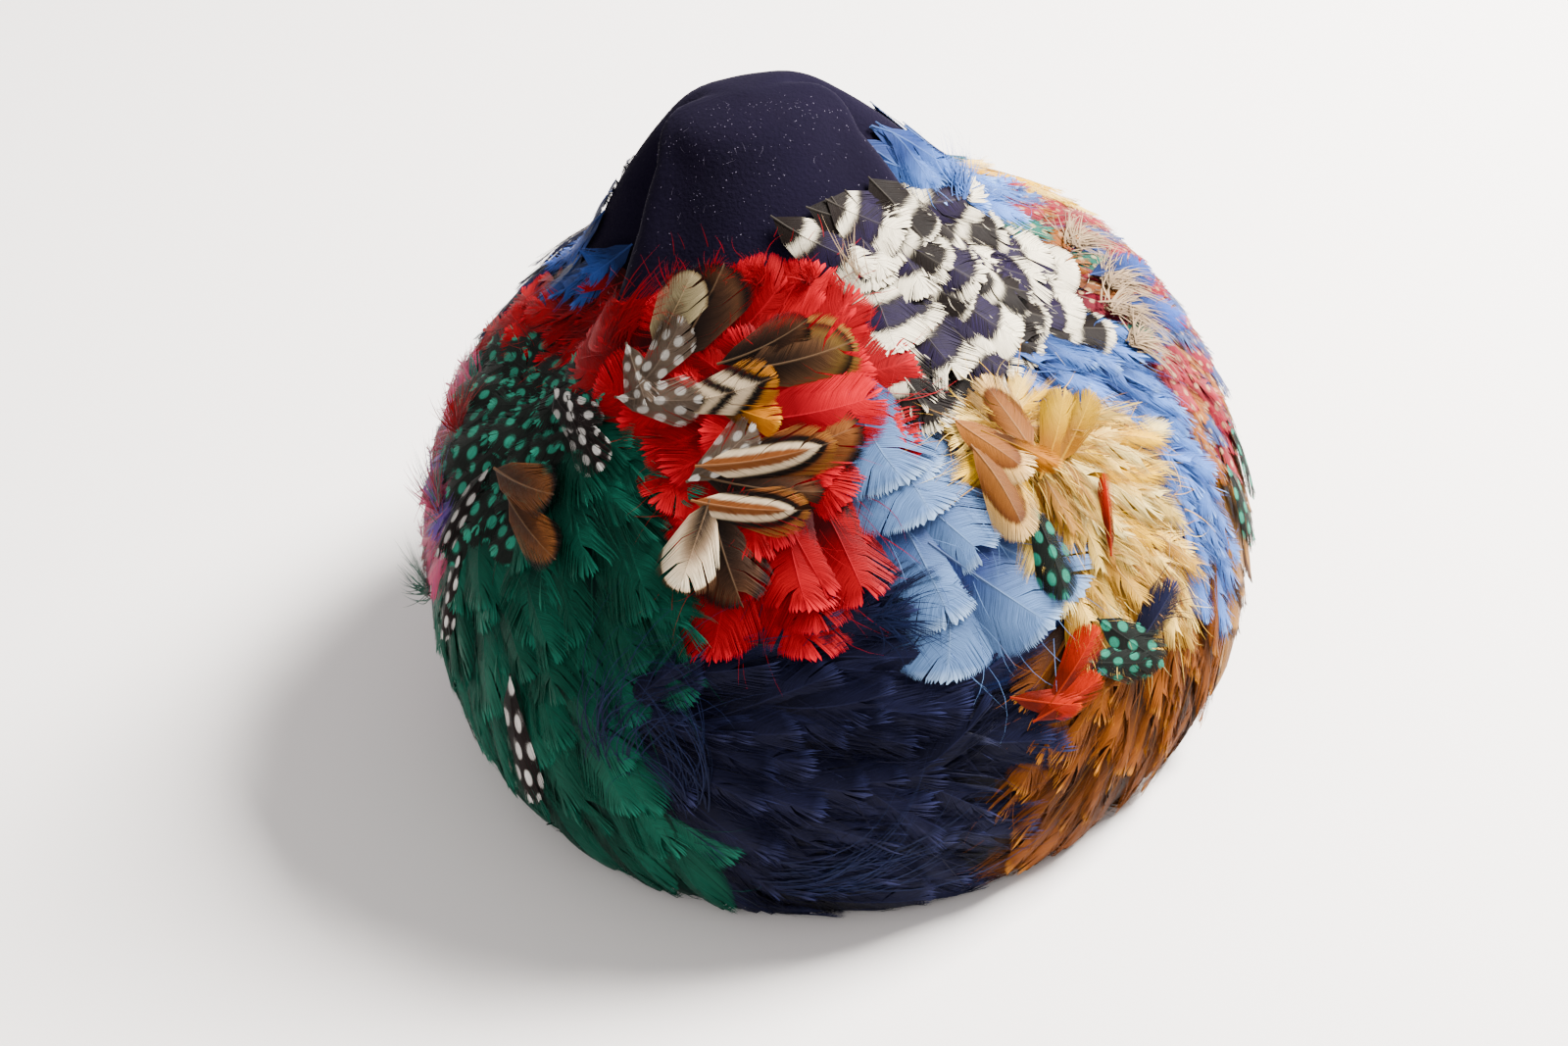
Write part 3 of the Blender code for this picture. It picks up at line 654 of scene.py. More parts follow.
def build_feathers(name, f, material, node, barbs, loose=None):
    """One object of many feathers with their loose strands, riding on the hat in the place of a block."""
    kinds = [(f, barb_strips(f, barbs)), (f, shafts(f))]
    if loose is not None:
        kinds.append((loose, strands(loose)))
    return lay_feathers(name, kinds, material, node)


def lay_feathers(name, kinds, material, node):
    """One object of feathers or strands of several kinds, each given with the arrays of its surface."""
    points, columns, faces, tints = [], [], [], []
    total = 0
    for laid, (places, quads, feather) in kinds:
        points.append(laid_down(laid, places, feather))
        columns.append(np.stack(places[3:], -1))
        faces.append(quads + total)
        tints.append(np.random.default_rng(laid.seed + 7).random(len(laid.angle))[feather])
        total += len(feather)
    columns = np.concatenate(columns)
    uvs = (("feather", columns[:, :2]), ("barb", columns[:, 2:]))
    values = (("tint", np.concatenate(tints)),)
    obj = build_mesh(name, np.concatenate(points), np.concatenate(faces), uvs, values)
    return dress(obj, material, node)


def dress(obj, material, node):
    """Give an object its material and set it in the place of a block."""
    obj.data.materials.append(material)
    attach(obj, "root")
    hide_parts(node)
    return obj


def build_shaded_underlayer(name, node, material):
    """Sheet under a block's feathers, a millimetre over its felt in cells of about 2 mm, in the look's
    darkened colour near the root: painted shade in the gaps between the feathers.

    It stops short of the bare felt.
    """
    angle, level = np.meshgrid(np.arange(-180, 180, 1.0), np.arange(1.3, 11.6, 0.1), indexing="ij")
    inside = in_block(node, angle + 0.5, level + 0.05) & ~in_block("bare", angle + 0.5, level + 0.55)
    a, b = angle[inside], level[inside]
    corners = [np.stack([a + right, b + up], -1) for right, up in ((0, 0), (1, 0), (1, 0.1), (0, 0.1))]
    corners = np.round(np.stack(corners, 1).reshape(-1, 2), 3)
    places, back = np.unique(corners, axis=0, return_inverse=True)
    count = len(places)
    point = raised(places[:, 0], places[:, 1], np.full(count, 0.0010))
    # A length share of 0.34 takes the look's darkened colour near the root, so the sheet shows painted shade
    # between the feathers.
    uv = np.stack([np.full(count, 0.8), np.full(count, 0.34)], -1)
    around = np.stack([places[:, 1], places[:, 0] / 20.0], -1)
    uvs = (("feather", uv), ("barb", around))
    values = (("tint", np.full(count, 0.3)),)
    return dress(build_mesh(name, point, back.reshape(-1, 4), uvs, values), material, node)


def spread(node, step, rng):
    """Spots over a block's felt, in staggered rows about a step apart, each moved a little."""
    angles, levels = [], []
    level, row = 1.5, 0
    while level < 11.4:
        around, upward = slopes(np.arange(0.0, 360.0, 5.0), np.full(72, level))
        count = max(int(np.linalg.norm(around, axis=1).mean() * 360 / step), 6)
        angles.append(-180 + (np.arange(count) + 0.5 * (row % 2)) * 360.0 / count)
        levels.append(np.full(count, level))
        level += step * 0.9 / float(np.linalg.norm(upward, axis=1).mean())
        row += 1
    angle, level = np.concatenate(angles), np.concatenate(levels)
    count = len(angle)
    angle, level = walk(angle, level, rng.normal(0, 0.22, count) * step, rng.normal(0, 0.22, count) * step)
    level = np.clip(level, 1.3, 11.2)
    inside = in_block(node, angle, level)
    return angle[inside], level[inside]


def flow(block, angle, level):
    """Heading at each spot: away from the block's centre by the radial share, along its sweep otherwise."""
    away = felt_point(angle, level) - felt_point(float(block.angle), float(block.level))
    around, upward = slopes(angle, level)
    first = unit(around)
    second = unit(upward - np.sum(upward * first, axis=-1, keepdims=True) * first)
    radial = unit(np.stack([np.sum(away * first, -1), np.sum(away * second, -1)], -1))
    sweep = math.radians(block.sweep)
    sweep_way = np.array([math.sin(sweep), -math.cos(sweep)])
    way = radial * block.radial + (1 - block.radial) * sweep_way
    return np.degrees(np.arctan2(way[:, 0], -way[:, 1]))


def block_feathers(node, block, density, seed):
    """Feathers of one block: spots spread over its felt, each with a heading of the block's flow.

    A spot lies at 0.80 of its feather's length. Near the bare felt it lies a little past the tip, which
    then stays off that felt.
    """
    rng = np.random.default_rng(seed)
    angle, level = spread(node, block.spacing / 1000 / density, rng)
    n = len(angle)
    heading = flow(block, angle, level) + rng.normal(0, 10, n)
    length = block.length / 1000 * rng.uniform(0.80, 1.12, n)
    width = block.width / 1000 * rng.uniform(0.85, 1.15, n)
    turn = np.radians(heading)
    back = (0.80 + 0.32 * np.clip(level - 9.2, 0, 1)) * length
    root_angle, root_level = walk(angle, level, -np.sin(turn) * back, np.cos(turn) * back)
    thin = np.clip((12.4 - level) / 4.0, 0.5, 1.0)
    root = block.rise / 1000 + rng.uniform(0.0005, 0.0015, n)
    tip = root + rng.uniform(0.0018, 0.0034, n) * thin
    rag = block.rag * rng.uniform(0.4, 1.6, n)
    hair = np.clip(block.hair + rng.normal(0, 0.08, n), 0, 1)
    curl = rng.normal(0, 1, n) * block.curl
    roll = rng.normal(0, 0.06, n)
    root_level = np.clip(root_level, 0.8, 11.4)
    return Feathers(root_angle, root_level, heading, length, width, root, tip, rag, hair, curl, roll, seed)


def block_strands(node, block, share, seed):
    """Loose strands of one block, over its feathers and past its edge, shorter near the bare felt."""
    rng = np.random.default_rng(seed)
    angle, level = spread(node, 0.0042 / math.sqrt(max(share, 0.05)), rng)
    n = len(angle)
    heading = flow(block, angle, level) + rng.normal(0, 22, n)
    length = block.length / 1000 * rng.uniform(0.22, 0.50, n) * np.clip((11.4 - level) / 2.4, 0.3, 1.0)
    root = block.rise / 1000 + rng.uniform(0.0020, 0.0036, n)
    width = rng.uniform(0.00012, 0.00024, n)
    tip = root + rng.uniform(-0.0006, 0.0018, n)
    curl = rng.normal(0, 0.30, n)
    roll = rng.normal(0, 1, n)
    none, full = np.zeros(n), np.ones(n)
    return Feathers(angle, level, heading, length, width, root, tip, none, full, curl, roll, seed)


def shader_tools(owner):
    """The node tree of a material or a node group, with short forms for adding nodes and links to it."""
    tree = getattr(owner, "node_tree", owner)

    def add(kind, **settings):
        node = tree.nodes.new(kind)
        for key, value in settings.items():
            setattr(node, key, value)
        return node

    def fill(socket, value):
        if isinstance(value, (int, float)):
            socket.default_value = value
        elif isinstance(value, tuple):
            socket.default_value = (*value, 1.0)
        else:
            tree.links.new(value, socket)

    def calc(operation, *values):
        node = add("ShaderNodeMath", operation=operation)
        for socket, value in zip(node.inputs, values):
            fill(socket, value)
        return node.outputs[0]

    def mix(factor, first, second, blend="MIX"):
        node = add("ShaderNodeMix", data_type="RGBA", blend_type=blend)
        for socket, value in zip((node.inputs[0], node.inputs[6], node.inputs[7]), (factor, first, second)):
            fill(socket, value)
        return node.outputs[2]

    return tree, add, calc, mix


def feather_coordinates():
    """Group with a feather's own coordinates: side, length share, tint, streaks along the barbs, shaft."""
    group = bpy.data.node_groups.new("Feather coordinates", "ShaderNodeTree")
    tree, add, calc, _ = shader_tools(group)
    for name in ("Side", "Along", "Tint", "Streak", "Shaft", "Height"):
        group.interface.new_socket(name, in_out="OUTPUT", socket_type="NodeSocketFloat")
    out = add("NodeGroupOutput")
    tint = add("ShaderNodeAttribute", attribute_name="tint").outputs["Fac"]
    halves = []
    for uv_map in ("feather", "barb"):
        half = add("ShaderNodeSeparateXYZ")
        tree.links.new(add("ShaderNodeUVMap", uv_map=uv_map).outputs[0], half.inputs[0])
        halves.append(half)
    feather, barb = halves
    side = calc("MULTIPLY", calc("SUBTRACT", feather.outputs[0], 0.5), 2.0)
    place = add("ShaderNodeCombineXYZ")
    along_barb = calc("ADD", calc("MULTIPLY", barb.outputs[0], 1.6), calc("MULTIPLY", tint, 37.0))
    for socket, value in zip(place.inputs, (along_barb, calc("MULTIPLY", barb.outputs[1], 230.0),
                                            calc("SIGN", side))):
        tree.links.new(value, socket)
    noise = add("ShaderNodeTexNoise")
    noise.inputs["Scale"].default_value = 1.0
    noise.inputs["Detail"].default_value = 3.0
    tree.links.new(place.outputs[0], noise.inputs["Vector"])
    streak = add("ShaderNodeMapRange")
    streak.inputs["From Min"].default_value = 0.32
    streak.inputs["From Max"].default_value = 0.68
    tree.links.new(noise.outputs[0], streak.inputs["Value"])
    from_shaft = calc("MULTIPLY", calc("ABSOLUTE", side), 26.0)
    shaft = calc("MAXIMUM", calc("SUBTRACT", 1.0, calc("SMOOTH_MIN", from_shaft, 1.0, 0.3)), 0.0)
    results = (side, feather.outputs[1], tint, streak.outputs[0], shaft, noise.outputs[0])
    for socket, value in zip(out.inputs, results):
        tree.links.new(value, socket)
    return group


def dot_group(name, columns, rows, radius, drift):
    """Group with a mask of round dots in staggered rows, each moved a little in its cell."""
    group = bpy.data.node_groups.new(name, "ShaderNodeTree")
    tree, add, calc, _ = shader_tools(group)
    for label in ("Side", "Along", "Tint"):
        group.interface.new_socket(label, in_out="INPUT", socket_type="NodeSocketFloat")
    group.interface.new_socket("Mask", in_out="OUTPUT", socket_type="NodeSocketFloat")
    into = add("NodeGroupInput")
    out = add("NodeGroupOutput")
    row = calc("MULTIPLY", into.outputs[1], rows)
    shift = calc("MULTIPLY", calc("MODULO", calc("FLOOR", row), 2.0), 0.5)
    column = calc("ADD", calc("MULTIPLY", calc("ADD", into.outputs[0], 1.0), columns / 2), shift)
    cell = add("ShaderNodeCombineXYZ")
    for socket, value in zip(cell.inputs, (calc("FLOOR", column), calc("FLOOR", row), into.outputs[2])):
        tree.links.new(value, socket)
    random = add("ShaderNodeTexWhiteNoise", noise_dimensions="3D")
    tree.links.new(cell.outputs[0], random.inputs["Vector"])
    moved = add("ShaderNodeSeparateXYZ")
    tree.links.new(random.outputs["Color"], moved.inputs[0])
    squares = []
    for value, number in ((column, 0), (row, 1)):
        off = calc("MULTIPLY", calc("SUBTRACT", moved.outputs[number], 0.5), drift)
        from_middle = calc("ADD", calc("SUBTRACT", calc("FRACT", value), 0.5), off)
        squares.append(calc("POWER", calc("ABSOLUTE", from_middle), 2.0))
    distance = calc("SQRT", calc("ADD", squares[0], calc("MULTIPLY", squares[1], 0.7)))
    mask = add("ShaderNodeMapRange", interpolation_type="SMOOTHSTEP")
    mask.inputs["From Min"].default_value = radius + 0.05
    mask.inputs["From Max"].default_value = radius - 0.05
    tree.links.new(distance, mask.inputs["Value"])
    tree.links.new(mask.outputs[0], out.inputs[0])
    return group


def use_group(tree, group, **links):
    """Add a node group with some of its inputs linked."""
    node = tree.nodes.new("ShaderNodeGroup")
    node.node_tree = group
    for name, value in links.items():
        tree.links.new(value, node.inputs[name])
    return node


def dot_mask(tree, dots, parts):
    """Mask of a dot group on a feather's own coordinates."""
    links = {name: parts.outputs[name] for name in ("Side", "Along", "Tint")}
    return use_group(tree, dots, **links).outputs[0]


def ramp(tree, value, stops, kind="LINEAR"):
    """Colour of a value, on a ramp given as (place, colour) stops."""
    node = tree.nodes.new("ShaderNodeValToRGB")
    node.color_ramp.interpolation = kind
    elements = node.color_ramp.elements
    while len(elements) < len(stops):
        elements.new(0.5)
    for element, (place, colour) in zip(elements, stops):
        element.position = place
        element.color = (*colour, 1.0)
    tree.links.new(value, node.inputs[0])
    return node.outputs[0]


def new_material(name):
    """New material with its shader."""
    material = bpy.data.materials.new(name)
    material.use_nodes = True
    return material, material.node_tree.nodes["Principled BSDF"]


def feather_material(name, coordinates):
    """Material of a feather look, with the group that gives a feather's own coordinates."""
    material, _ = new_material("feather_" + name)
    return material, use_group(material.node_tree, coordinates)


def finish_feather(material, parts, colour, roughness, sheen, line, shaft):
    """Streaks, tint, shaft line and a fine bump over a feather's colour."""
    tree, add, calc, mix = shader_tools(material)
    shader = tree.nodes["Principled BSDF"]
    light = calc("ADD", 0.36, calc("MULTIPLY", parts.outputs["Streak"], 0.68))
    light = calc("MULTIPLY", light, calc("ADD", 0.72, calc("MULTIPLY", parts.outputs["Tint"], 0.56)))
    grey = add("ShaderNodeCombineXYZ")
    for socket in grey.inputs:
        tree.links.new(light, socket)
    colour = mix(1.0, colour, grey.outputs[0], "MULTIPLY")
    colour = mix(calc("MULTIPLY", parts.outputs["Shaft"], line), colour, shaft)
    tree.links.new(colour, shader.inputs["Base Color"])
    shader.inputs["Roughness"].default_value = roughness
    shader.inputs["Sheen Weight"].default_value = sheen
    shader.inputs["Sheen Roughness"].default_value = 0.35
    shader.inputs["Specular IOR Level"].default_value = 0.05
    bump = add("ShaderNodeBump")
    bump.inputs["Strength"].default_value = 0.25
    bump.inputs["Distance"].default_value = 0.0004
    tree.links.new(parts.outputs["Height"], bump.inputs["Height"])
    tree.links.new(bump.outputs[0], shader.inputs["Normal"])
    return material


def plain_look(name, coordinates):
    """Look of one colour, with its own colour at the tip and painted shade in the dark root colour, where the
    feathers overlap.
    """
    main, tip, root = PLAIN[name]
    material, parts = feather_material(name, coordinates)
    # Towards the root the ramp darkens to the root colour: painted shade under the overlapping feathers.
    stops = ((0.38, root), (0.76, main), (0.92, main), (1.0, tip))
    colour = ramp(material.node_tree, parts.outputs["Along"], stops)
    return finish_feather(material, parts, colour, 0.48, 0.02, 0.15, tip)


def mixed_look(name, coordinates, dots=None):
    """Look of a block whose feathers take several colours in turn, darkened towards the root with painted
    shade, with pale dots if a dot group is given.
    """
    material, parts = feather_material(name, coordinates)
    tree, _, calc, mix = shader_tools(material)
    mains, tips = zip(*MIXED[name])
    steps = [number / len(mains) for number in range(len(mains))]
    main = ramp(tree, parts.outputs["Tint"], list(zip(steps, mains)), "CONSTANT")
    tip = ramp(tree, parts.outputs["Tint"], list(zip(steps, tips)), "CONSTANT")
    along = parts.outputs["Along"]
    share = ramp(tree, along, ((0.10, (0, 0, 0)), (0.55, (0.4, 0.4, 0.4)), (1.0, (1, 1, 1))))
    # dark multiplies the colour down towards the root: painted shade under the overlapping feathers.
    dark = ramp(tree, along, ((0.08, (0.16, 0.16, 0.16)), (0.48, (1, 1, 1))))
    colour = mix(1.0, mix(share, main, tip), dark, "MULTIPLY")
    if dots is not None:
        colour = mix(calc("MULTIPLY", dot_mask(tree, dots, parts), 0.55), colour, (0.60, 0.40, 0.20))
    return finish_feather(material, parts, colour, 0.50, 0.02, 0.12, (0.5, 0.4, 0.3))


def pattern_look(name, coordinates):
    """Look of a marked feather, with its colours set along chevrons, along the sides or out to the rim."""
    line, stops = PATTERNS[name]
    material, parts = feather_material(name, coordinates)
    tree, _, calc, _ = shader_tools(material)
    along = parts.outputs["Along"]
    side = calc("ABSOLUTE", parts.outputs["Side"])
    if line == "chevron":
        place = calc("ADD", along, calc("MULTIPLY", side, 0.34))
    elif line == "sides":
        place = calc("ADD", side, calc("POWER", along, 7.0))
    else:
        place = calc("ADD", calc("POWER", side, 2.0), calc("POWER", along, 4.0))
    place = calc("ADD", place, calc("MULTIPLY", calc("SUBTRACT", parts.outputs["Streak"], 0.5), 0.12))
    return finish_feather(material, parts, ramp(tree, place, stops), 0.44, 0.04, 0.25, (0.25, 0.15, 0.08))


def dotted_look(name, coordinates, dots):
    """Look of a dark feather with round dots, darker still at its root with painted shade where the feathers
    overlap.
    """
    ground, dot = DOTTED[name]
    material, parts = feather_material(name, coordinates)
    tree, _, _, mix = shader_tools(material)
    # The ground darkens towards the root: painted shade under the overlapping feathers.
    stops = ((0.1, tuple(c * 0.4 for c in ground)), (0.5, ground))
    base = ramp(tree, parts.outputs["Along"], stops)
    colour = mix(dot_mask(tree, dots, parts), base, dot)
    return finish_feather(material, parts, colour, 0.5, 0.03, 0.2, ground)


def barred_look(coordinates):
    """Cream and black bars that follow the round tip, with a violet glint on the dark ones."""
    material, parts = feather_material("barred", coordinates)
    tree, _, calc, mix = shader_tools(material)
    round_off = calc("MULTIPLY", calc("POWER", calc("ABSOLUTE", parts.outputs["Side"]), 2.0), 0.14)
    wave = calc("ADD", parts.outputs["Along"], round_off)
    for name, reach in (("Streak", 0.10), ("Tint", 0.34)):
        wave = calc("ADD", wave, calc("MULTIPLY", calc("SUBTRACT", parts.outputs[name], 0.5), reach))
    cream = (0.800, 0.710, 0.530)
    stops = ((0.0, BLACK), (0.42, BLACK), (0.46, cream), (0.53, cream), (0.57, BLACK), (0.88, BLACK),
             (0.905, cream), (1.0, cream))
    colour = ramp(tree, wave, stops)
    # dark marks the black bars. The violet mixed over them, on some feathers and along the streaks, is a
    # painted sheen.
    dark = ramp(tree, wave, ((0.58, (0, 0, 0)), (0.66, (1, 1, 1)), (0.83, (1, 1, 1)), (0.88, (0, 0, 0))))
    some = calc("MULTIPLY", calc("GREATER_THAN", parts.outputs["Tint"], 0.45), parts.outputs["Streak"])
    colour = mix(calc("MULTIPLY", calc("MULTIPLY", dark, some), 0.8), colour, (0.014, 0.008, 0.045))
    return finish_feather(material, parts, colour, 0.55, 0.0, 0.06, (0.4, 0.36, 0.30))


def make_looks():
    """Materials of all feather looks, by name."""
    coordinates = feather_coordinates()
    small = dot_group("Small dots", 3.0, 6.0, 0.18, 0.40)
    large = dot_group("Large dots", 3.0, 4.6, 0.25, 0.25)
    looks = {name: plain_look(name, coordinates) for name in PLAIN}
    looks.update({name: pattern_look(name, coordinates) for name in PATTERNS})
    looks.update({name: dotted_look(name, coordinates, large) for name in DOTTED})
    looks["tan"] = mixed_look("tan", coordinates)
    looks["wine"] = mixed_look("wine", coordinates)
    looks["rose"] = mixed_look("rose", coordinates, small)
    looks["barred"] = barred_look(coordinates)
    return looks


def felt_look(light, dark):
    """Felt with a short velvety nap over a fine irregular grain, in patches of two dark colours."""
    material, shader = new_material("felt")
    tree, add, calc, mix = shader_tools(material)
    place = add("ShaderNodeTexCoord")
    grain = []
    for scale, detail in ((900.0, 4.0), (26.0, 3.0)):
        noise = add("ShaderNodeTexNoise")
        noise.inputs["Scale"].default_value = scale
        noise.inputs["Detail"].default_value = detail
        tree.links.new(place.outputs["Object"], noise.inputs["Vector"])
        grain.append(noise.outputs[0])
    fine, broad = grain
    colour = mix(calc("MULTIPLY", fine, 0.22), mix(broad, dark, light), (0.009, 0.006, 0.019))
    tree.links.new(colour, shader.inputs["Base Color"])
    shader.inputs["Roughness"].default_value = 0.95
    shader.inputs["Specular IOR Level"].default_value = 0.08
    shader.inputs["Sheen Weight"].default_value = 0.022
    shader.inputs["Sheen Roughness"].default_value = 0.30
    shader.inputs["Sheen Tint"].default_value = (0.52, 0.44, 0.78, 1.0)
    bump = add("ShaderNodeBump")
    bump.inputs["Strength"].default_value = 0.5
    bump.inputs["Distance"].default_value = 0.0005
    tree.links.new(fine, bump.inputs["Height"])
    tree.links.new(bump.outputs[0], shader.inputs["Normal"])
    return material


def make_felt(columns, rows, light, dark):
    """Felt body as one closed wall: the outer face, and an inner face inside it, joined at the rim."""
    angle = np.arange(columns) * 360.0 / columns
    level = np.concatenate([np.linspace(0, 2, 9)[:-1], np.linspace(2, TOP_LEVEL - 0.15, rows)])
    count = len(level)
    half = columns * count
    outer, normal = surface(*np.meshgrid(angle, level, indexing="ij"))
    inner = outer - normal * FELT_THICKNESS
    inner[:, 0] = outer[:, 0] + np.array([0.0, 0.0, FELT_THICKNESS])
    tip = felt_point(0.0, float(TOP_LEVEL))[None]
    tip_inside = tip - np.array([[0, 0, FELT_THICKNESS]])
    points = np.concatenate([outer.reshape(-1, 3), inner.reshape(-1, 3), tip, tip_inside])
    index = np.arange(half).reshape(columns, count)
    after = np.roll(index, -1, axis=0)
    wall = np.stack([index[:, :-1], after[:, :-1], after[:, 1:], index[:, 1:]], -1).reshape(-1, 4)
    rim = np.stack([index[:, 0], index[:, 0] + half, after[:, 0] + half, after[:, 0]], -1)
    top = np.full(columns, 2 * half)
    cap = np.stack([index[:, -1], after[:, -1], top], -1)
    cap_inside = np.stack([after[:, -1] + half, index[:, -1] + half, top + 1], -1)
    faces = np.concatenate([wall, wall[:, ::-1] + half, rim]).tolist() + cap.tolist() + cap_inside.tolist()
    mesh = bpy.data.meshes.new("felt")
    mesh.from_pydata(points.tolist(), [], faces)
    mesh.polygons.foreach_set("use_smooth", np.ones(len(faces), dtype=bool))
    felt = bpy.data.objects.new("felt", mesh)
    bpy.context.scene.collection.objects.link(felt)
    felt.data.materials.append(felt_look(light, dark))
    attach(felt, "root")
    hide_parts("felt_body")
    return felt


def make_floor():
    """Plain pale floor."""
    side = 6.0
    mesh = bpy.data.meshes.new("floor")
    corners = [(-side, -side, 0), (side, -side, 0), (side, side, 0), (-side, side, 0)]
    mesh.from_pydata(corners, [], [(0, 1, 2, 3)])
    floor = bpy.data.objects.new("floor", mesh)
    bpy.context.scene.collection.objects.link(floor)
    material, shader = new_material("floor")
    shader.inputs["Base Color"].default_value = (0.95, 0.91, 0.89, 1.0)
    shader.inputs["Roughness"].default_value = 0.9
    mesh.materials.append(material)


def make_light(name, place, power, size, colour):
    """Square light that points at the middle of the hat."""
    data = bpy.data.lights.new(name, "AREA")
    data.energy = power
    data.size = size
    data.color = colour
    light = bpy.data.objects.new(name, data)
    light.location = place
    light.rotation_euler = (Vector(LIT_POINT) - Vector(place)).to_track_quat("-Z", "Y").to_euler()
    bpy.context.scene.collection.objects.link(light)


def make_world(strength):
    """Even pale light from all round."""
    world = bpy.data.worlds.new("studio")
    world.use_nodes = True
    background = world.node_tree.nodes["Background"]
    background.inputs[0].default_value = (1.0, 0.97, 0.96, 1.0)
    background.inputs[1].default_value = strength
    bpy.context.scene.world = world


def make_camera(elevation, roll, distance, lens):
    """Camera on the front side, rolled so that the hat leans left in the picture."""
    look = Vector((0.0, math.cos(elevation), -math.sin(elevation)))
    right = Vector((1.0, 0.0, 0.0))
    up = right.cross(look)
    across = math.cos(roll) * right - math.sin(roll) * up
    upward = math.sin(roll) * right + math.cos(roll) * up
    rotation = Matrix((across, upward, -look)).transposed().to_4x4()
    data = bpy.data.cameras.new("camera")
    data.lens = lens
    data.sensor_width = 36.0
    data.shift_x, data.shift_y = PICTURE_SHIFT
    data.clip_start = 0.01
    camera = bpy.data.objects.new("camera", data)
    camera.matrix_world = Matrix.Translation(Vector(AIM) - look * distance) @ rotation
    bpy.context.scene.collection.objects.link(camera)
    bpy.context.scene.camera = camera


def make_wisps(seed):
    """Tufts of loose curling barbs: each fans out from one spot on a block and lifts off the feathers."""
    rng = np.random.default_rng(seed)
    for number, w in enumerate(WISPS):
        n = w.count
        heading = w.heading + rng.normal(0, w.fan / 2, n)
        scatter = w.length / 14000
        angle, level = walk(np.full(n, float(w.angle)), np.full(n, float(w.level)),
                            rng.normal(0, scatter, n), rng.normal(0, scatter, n))
        root = BLOCKS[w.over].rise / 1000 + rng.uniform(0.0028, 0.0042, n)
        length = w.length / 1000 * rng.uniform(0.45, 1.1, n)
        width = w.width / 1000 * rng.uniform(0.6, 1.2, n)
        tip = root + w.lift / 1000 * rng.uniform(0.2, 1.0, n)
        curl = w.curl * rng.uniform(0.3, 1.4, n)
        roll = rng.normal(0, 1, n)
        none, full = np.zeros(n), np.ones(n)
        tuft = Feathers(angle, level, heading, length, width, root, tip, none, full, curl, roll,
                        seed + number)
        name = "%s_wisps_%02d" % (w.look, number + 1)
        lay_feathers(name, [(tuft, strands(tuft, 10))], bpy.data.materials["feather_" + w.look], w.over)


def make_lint(count, seed):
    """Pale lint and short fibres caught on the bare felt of the peak."""
    rng = np.random.default_rng(seed)
    angle = rng.uniform(-75, 75, count)
    level = rng.uniform(9.0, 13.6, count)
    bare = in_block("bare", angle, level)
    angle, level = angle[bare], level[bare]
    n = len(angle)
    fibres = rng.random(n) < 0.07
    length = np.where(fibres, rng.uniform(0.0010, 0.0032, n), rng.uniform(0.0001, 0.0005, n))
    width = np.where(fibres, 0.00007, rng.uniform(0.00010, 0.00026, n))
    heading = rng.uniform(0, 360, n)
    root = np.full(n, 0.00005)
    tip = rng.uniform(0.0001, 0.0003, n)
    curl = rng.normal(0, 0.5, n)
    none, full = np.zeros(n), np.ones(n)
    specks = Feathers(angle, level, heading, length, width, root, tip, none, full, curl, full, seed)
    places, quads, feather = strands(specks, 4)
    lint = build_mesh("felt_lint", laid_down(specks, places, feather), quads)
    material, shader = new_material("lint")
    tree, add, _, mix = shader_tools(material)
    shader.inputs["Roughness"].default_value = 0.9
    noise = add("ShaderNodeTexNoise")
    noise.inputs["Scale"].default_value = 400.0
    colour = mix(noise.outputs[0], (0.018, 0.013, 0.030), (0.13, 0.11, 0.17))
    tree.links.new(colour, shader.inputs["Base Color"])
    lint.data.materials.append(material)
    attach(lint, "root")
    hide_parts("felt_body")
    return lint


def make_blocks(density, share, barbs, seed):
    """Feathers, loose strands and the sheet of painted shade under the feathers of every block."""
    looks = make_looks()
    for number, (node, block) in enumerate(BLOCKS.items()):
        own_seed = seed + number * 10
        laid = block_feathers(node, block, density, own_seed)
        loose = block_strands(node, block, block.loose * share, own_seed + 5)
        name = node.replace("_feathers", "_vanes")
        build_feathers(name, laid, looks[block.look], node, round(block.length * barbs), loose)
        # The objects ending in _down are sheets in the feathers' darkened root colour: painted shade between
        # the feathers.
        build_shaded_underlayer(node.replace("_feathers", "_down"), node, looks[block.look])


def make_marked(barbs, seed):
    """Single marked feathers, one object for each look on each block."""
    groups = {}
    for row in MARKED:
        groups.setdefault((row.look, row.over), []).append(row)
    for number, ((look, node), rows) in enumerate(groups.items()):
        rng = np.random.default_rng(seed + number)
        count = len(rows)
        angle, level, heading, length, width, lift = np.array([row[2:] for row in rows], dtype=float).T
        lift = lift / 1000 + OVER_BLOCK
        turn = np.radians(heading)
        back = length / 2000.0
        angle, level = walk(angle, level, -np.sin(turn) * back, np.cos(turn) * back)
        rag, hair = np.full(count, 0.18), np.full(count, 0.30)
        curl, roll = rng.normal(0, 0.03, count), rng.normal(0, 0.03, count)
        laid = Feathers(angle, level, heading, length / 1000.0, width / 1000.0, lift - 0.0016, lift,
                        rag, hair, curl, roll, seed + number)
        name = "_".join([look, "on", node.replace("_feathers", "")])
        material = bpy.data.materials["feather_" + look]
        build_feathers(name, laid, material, node, round(max(length) * barbs * 1.4))


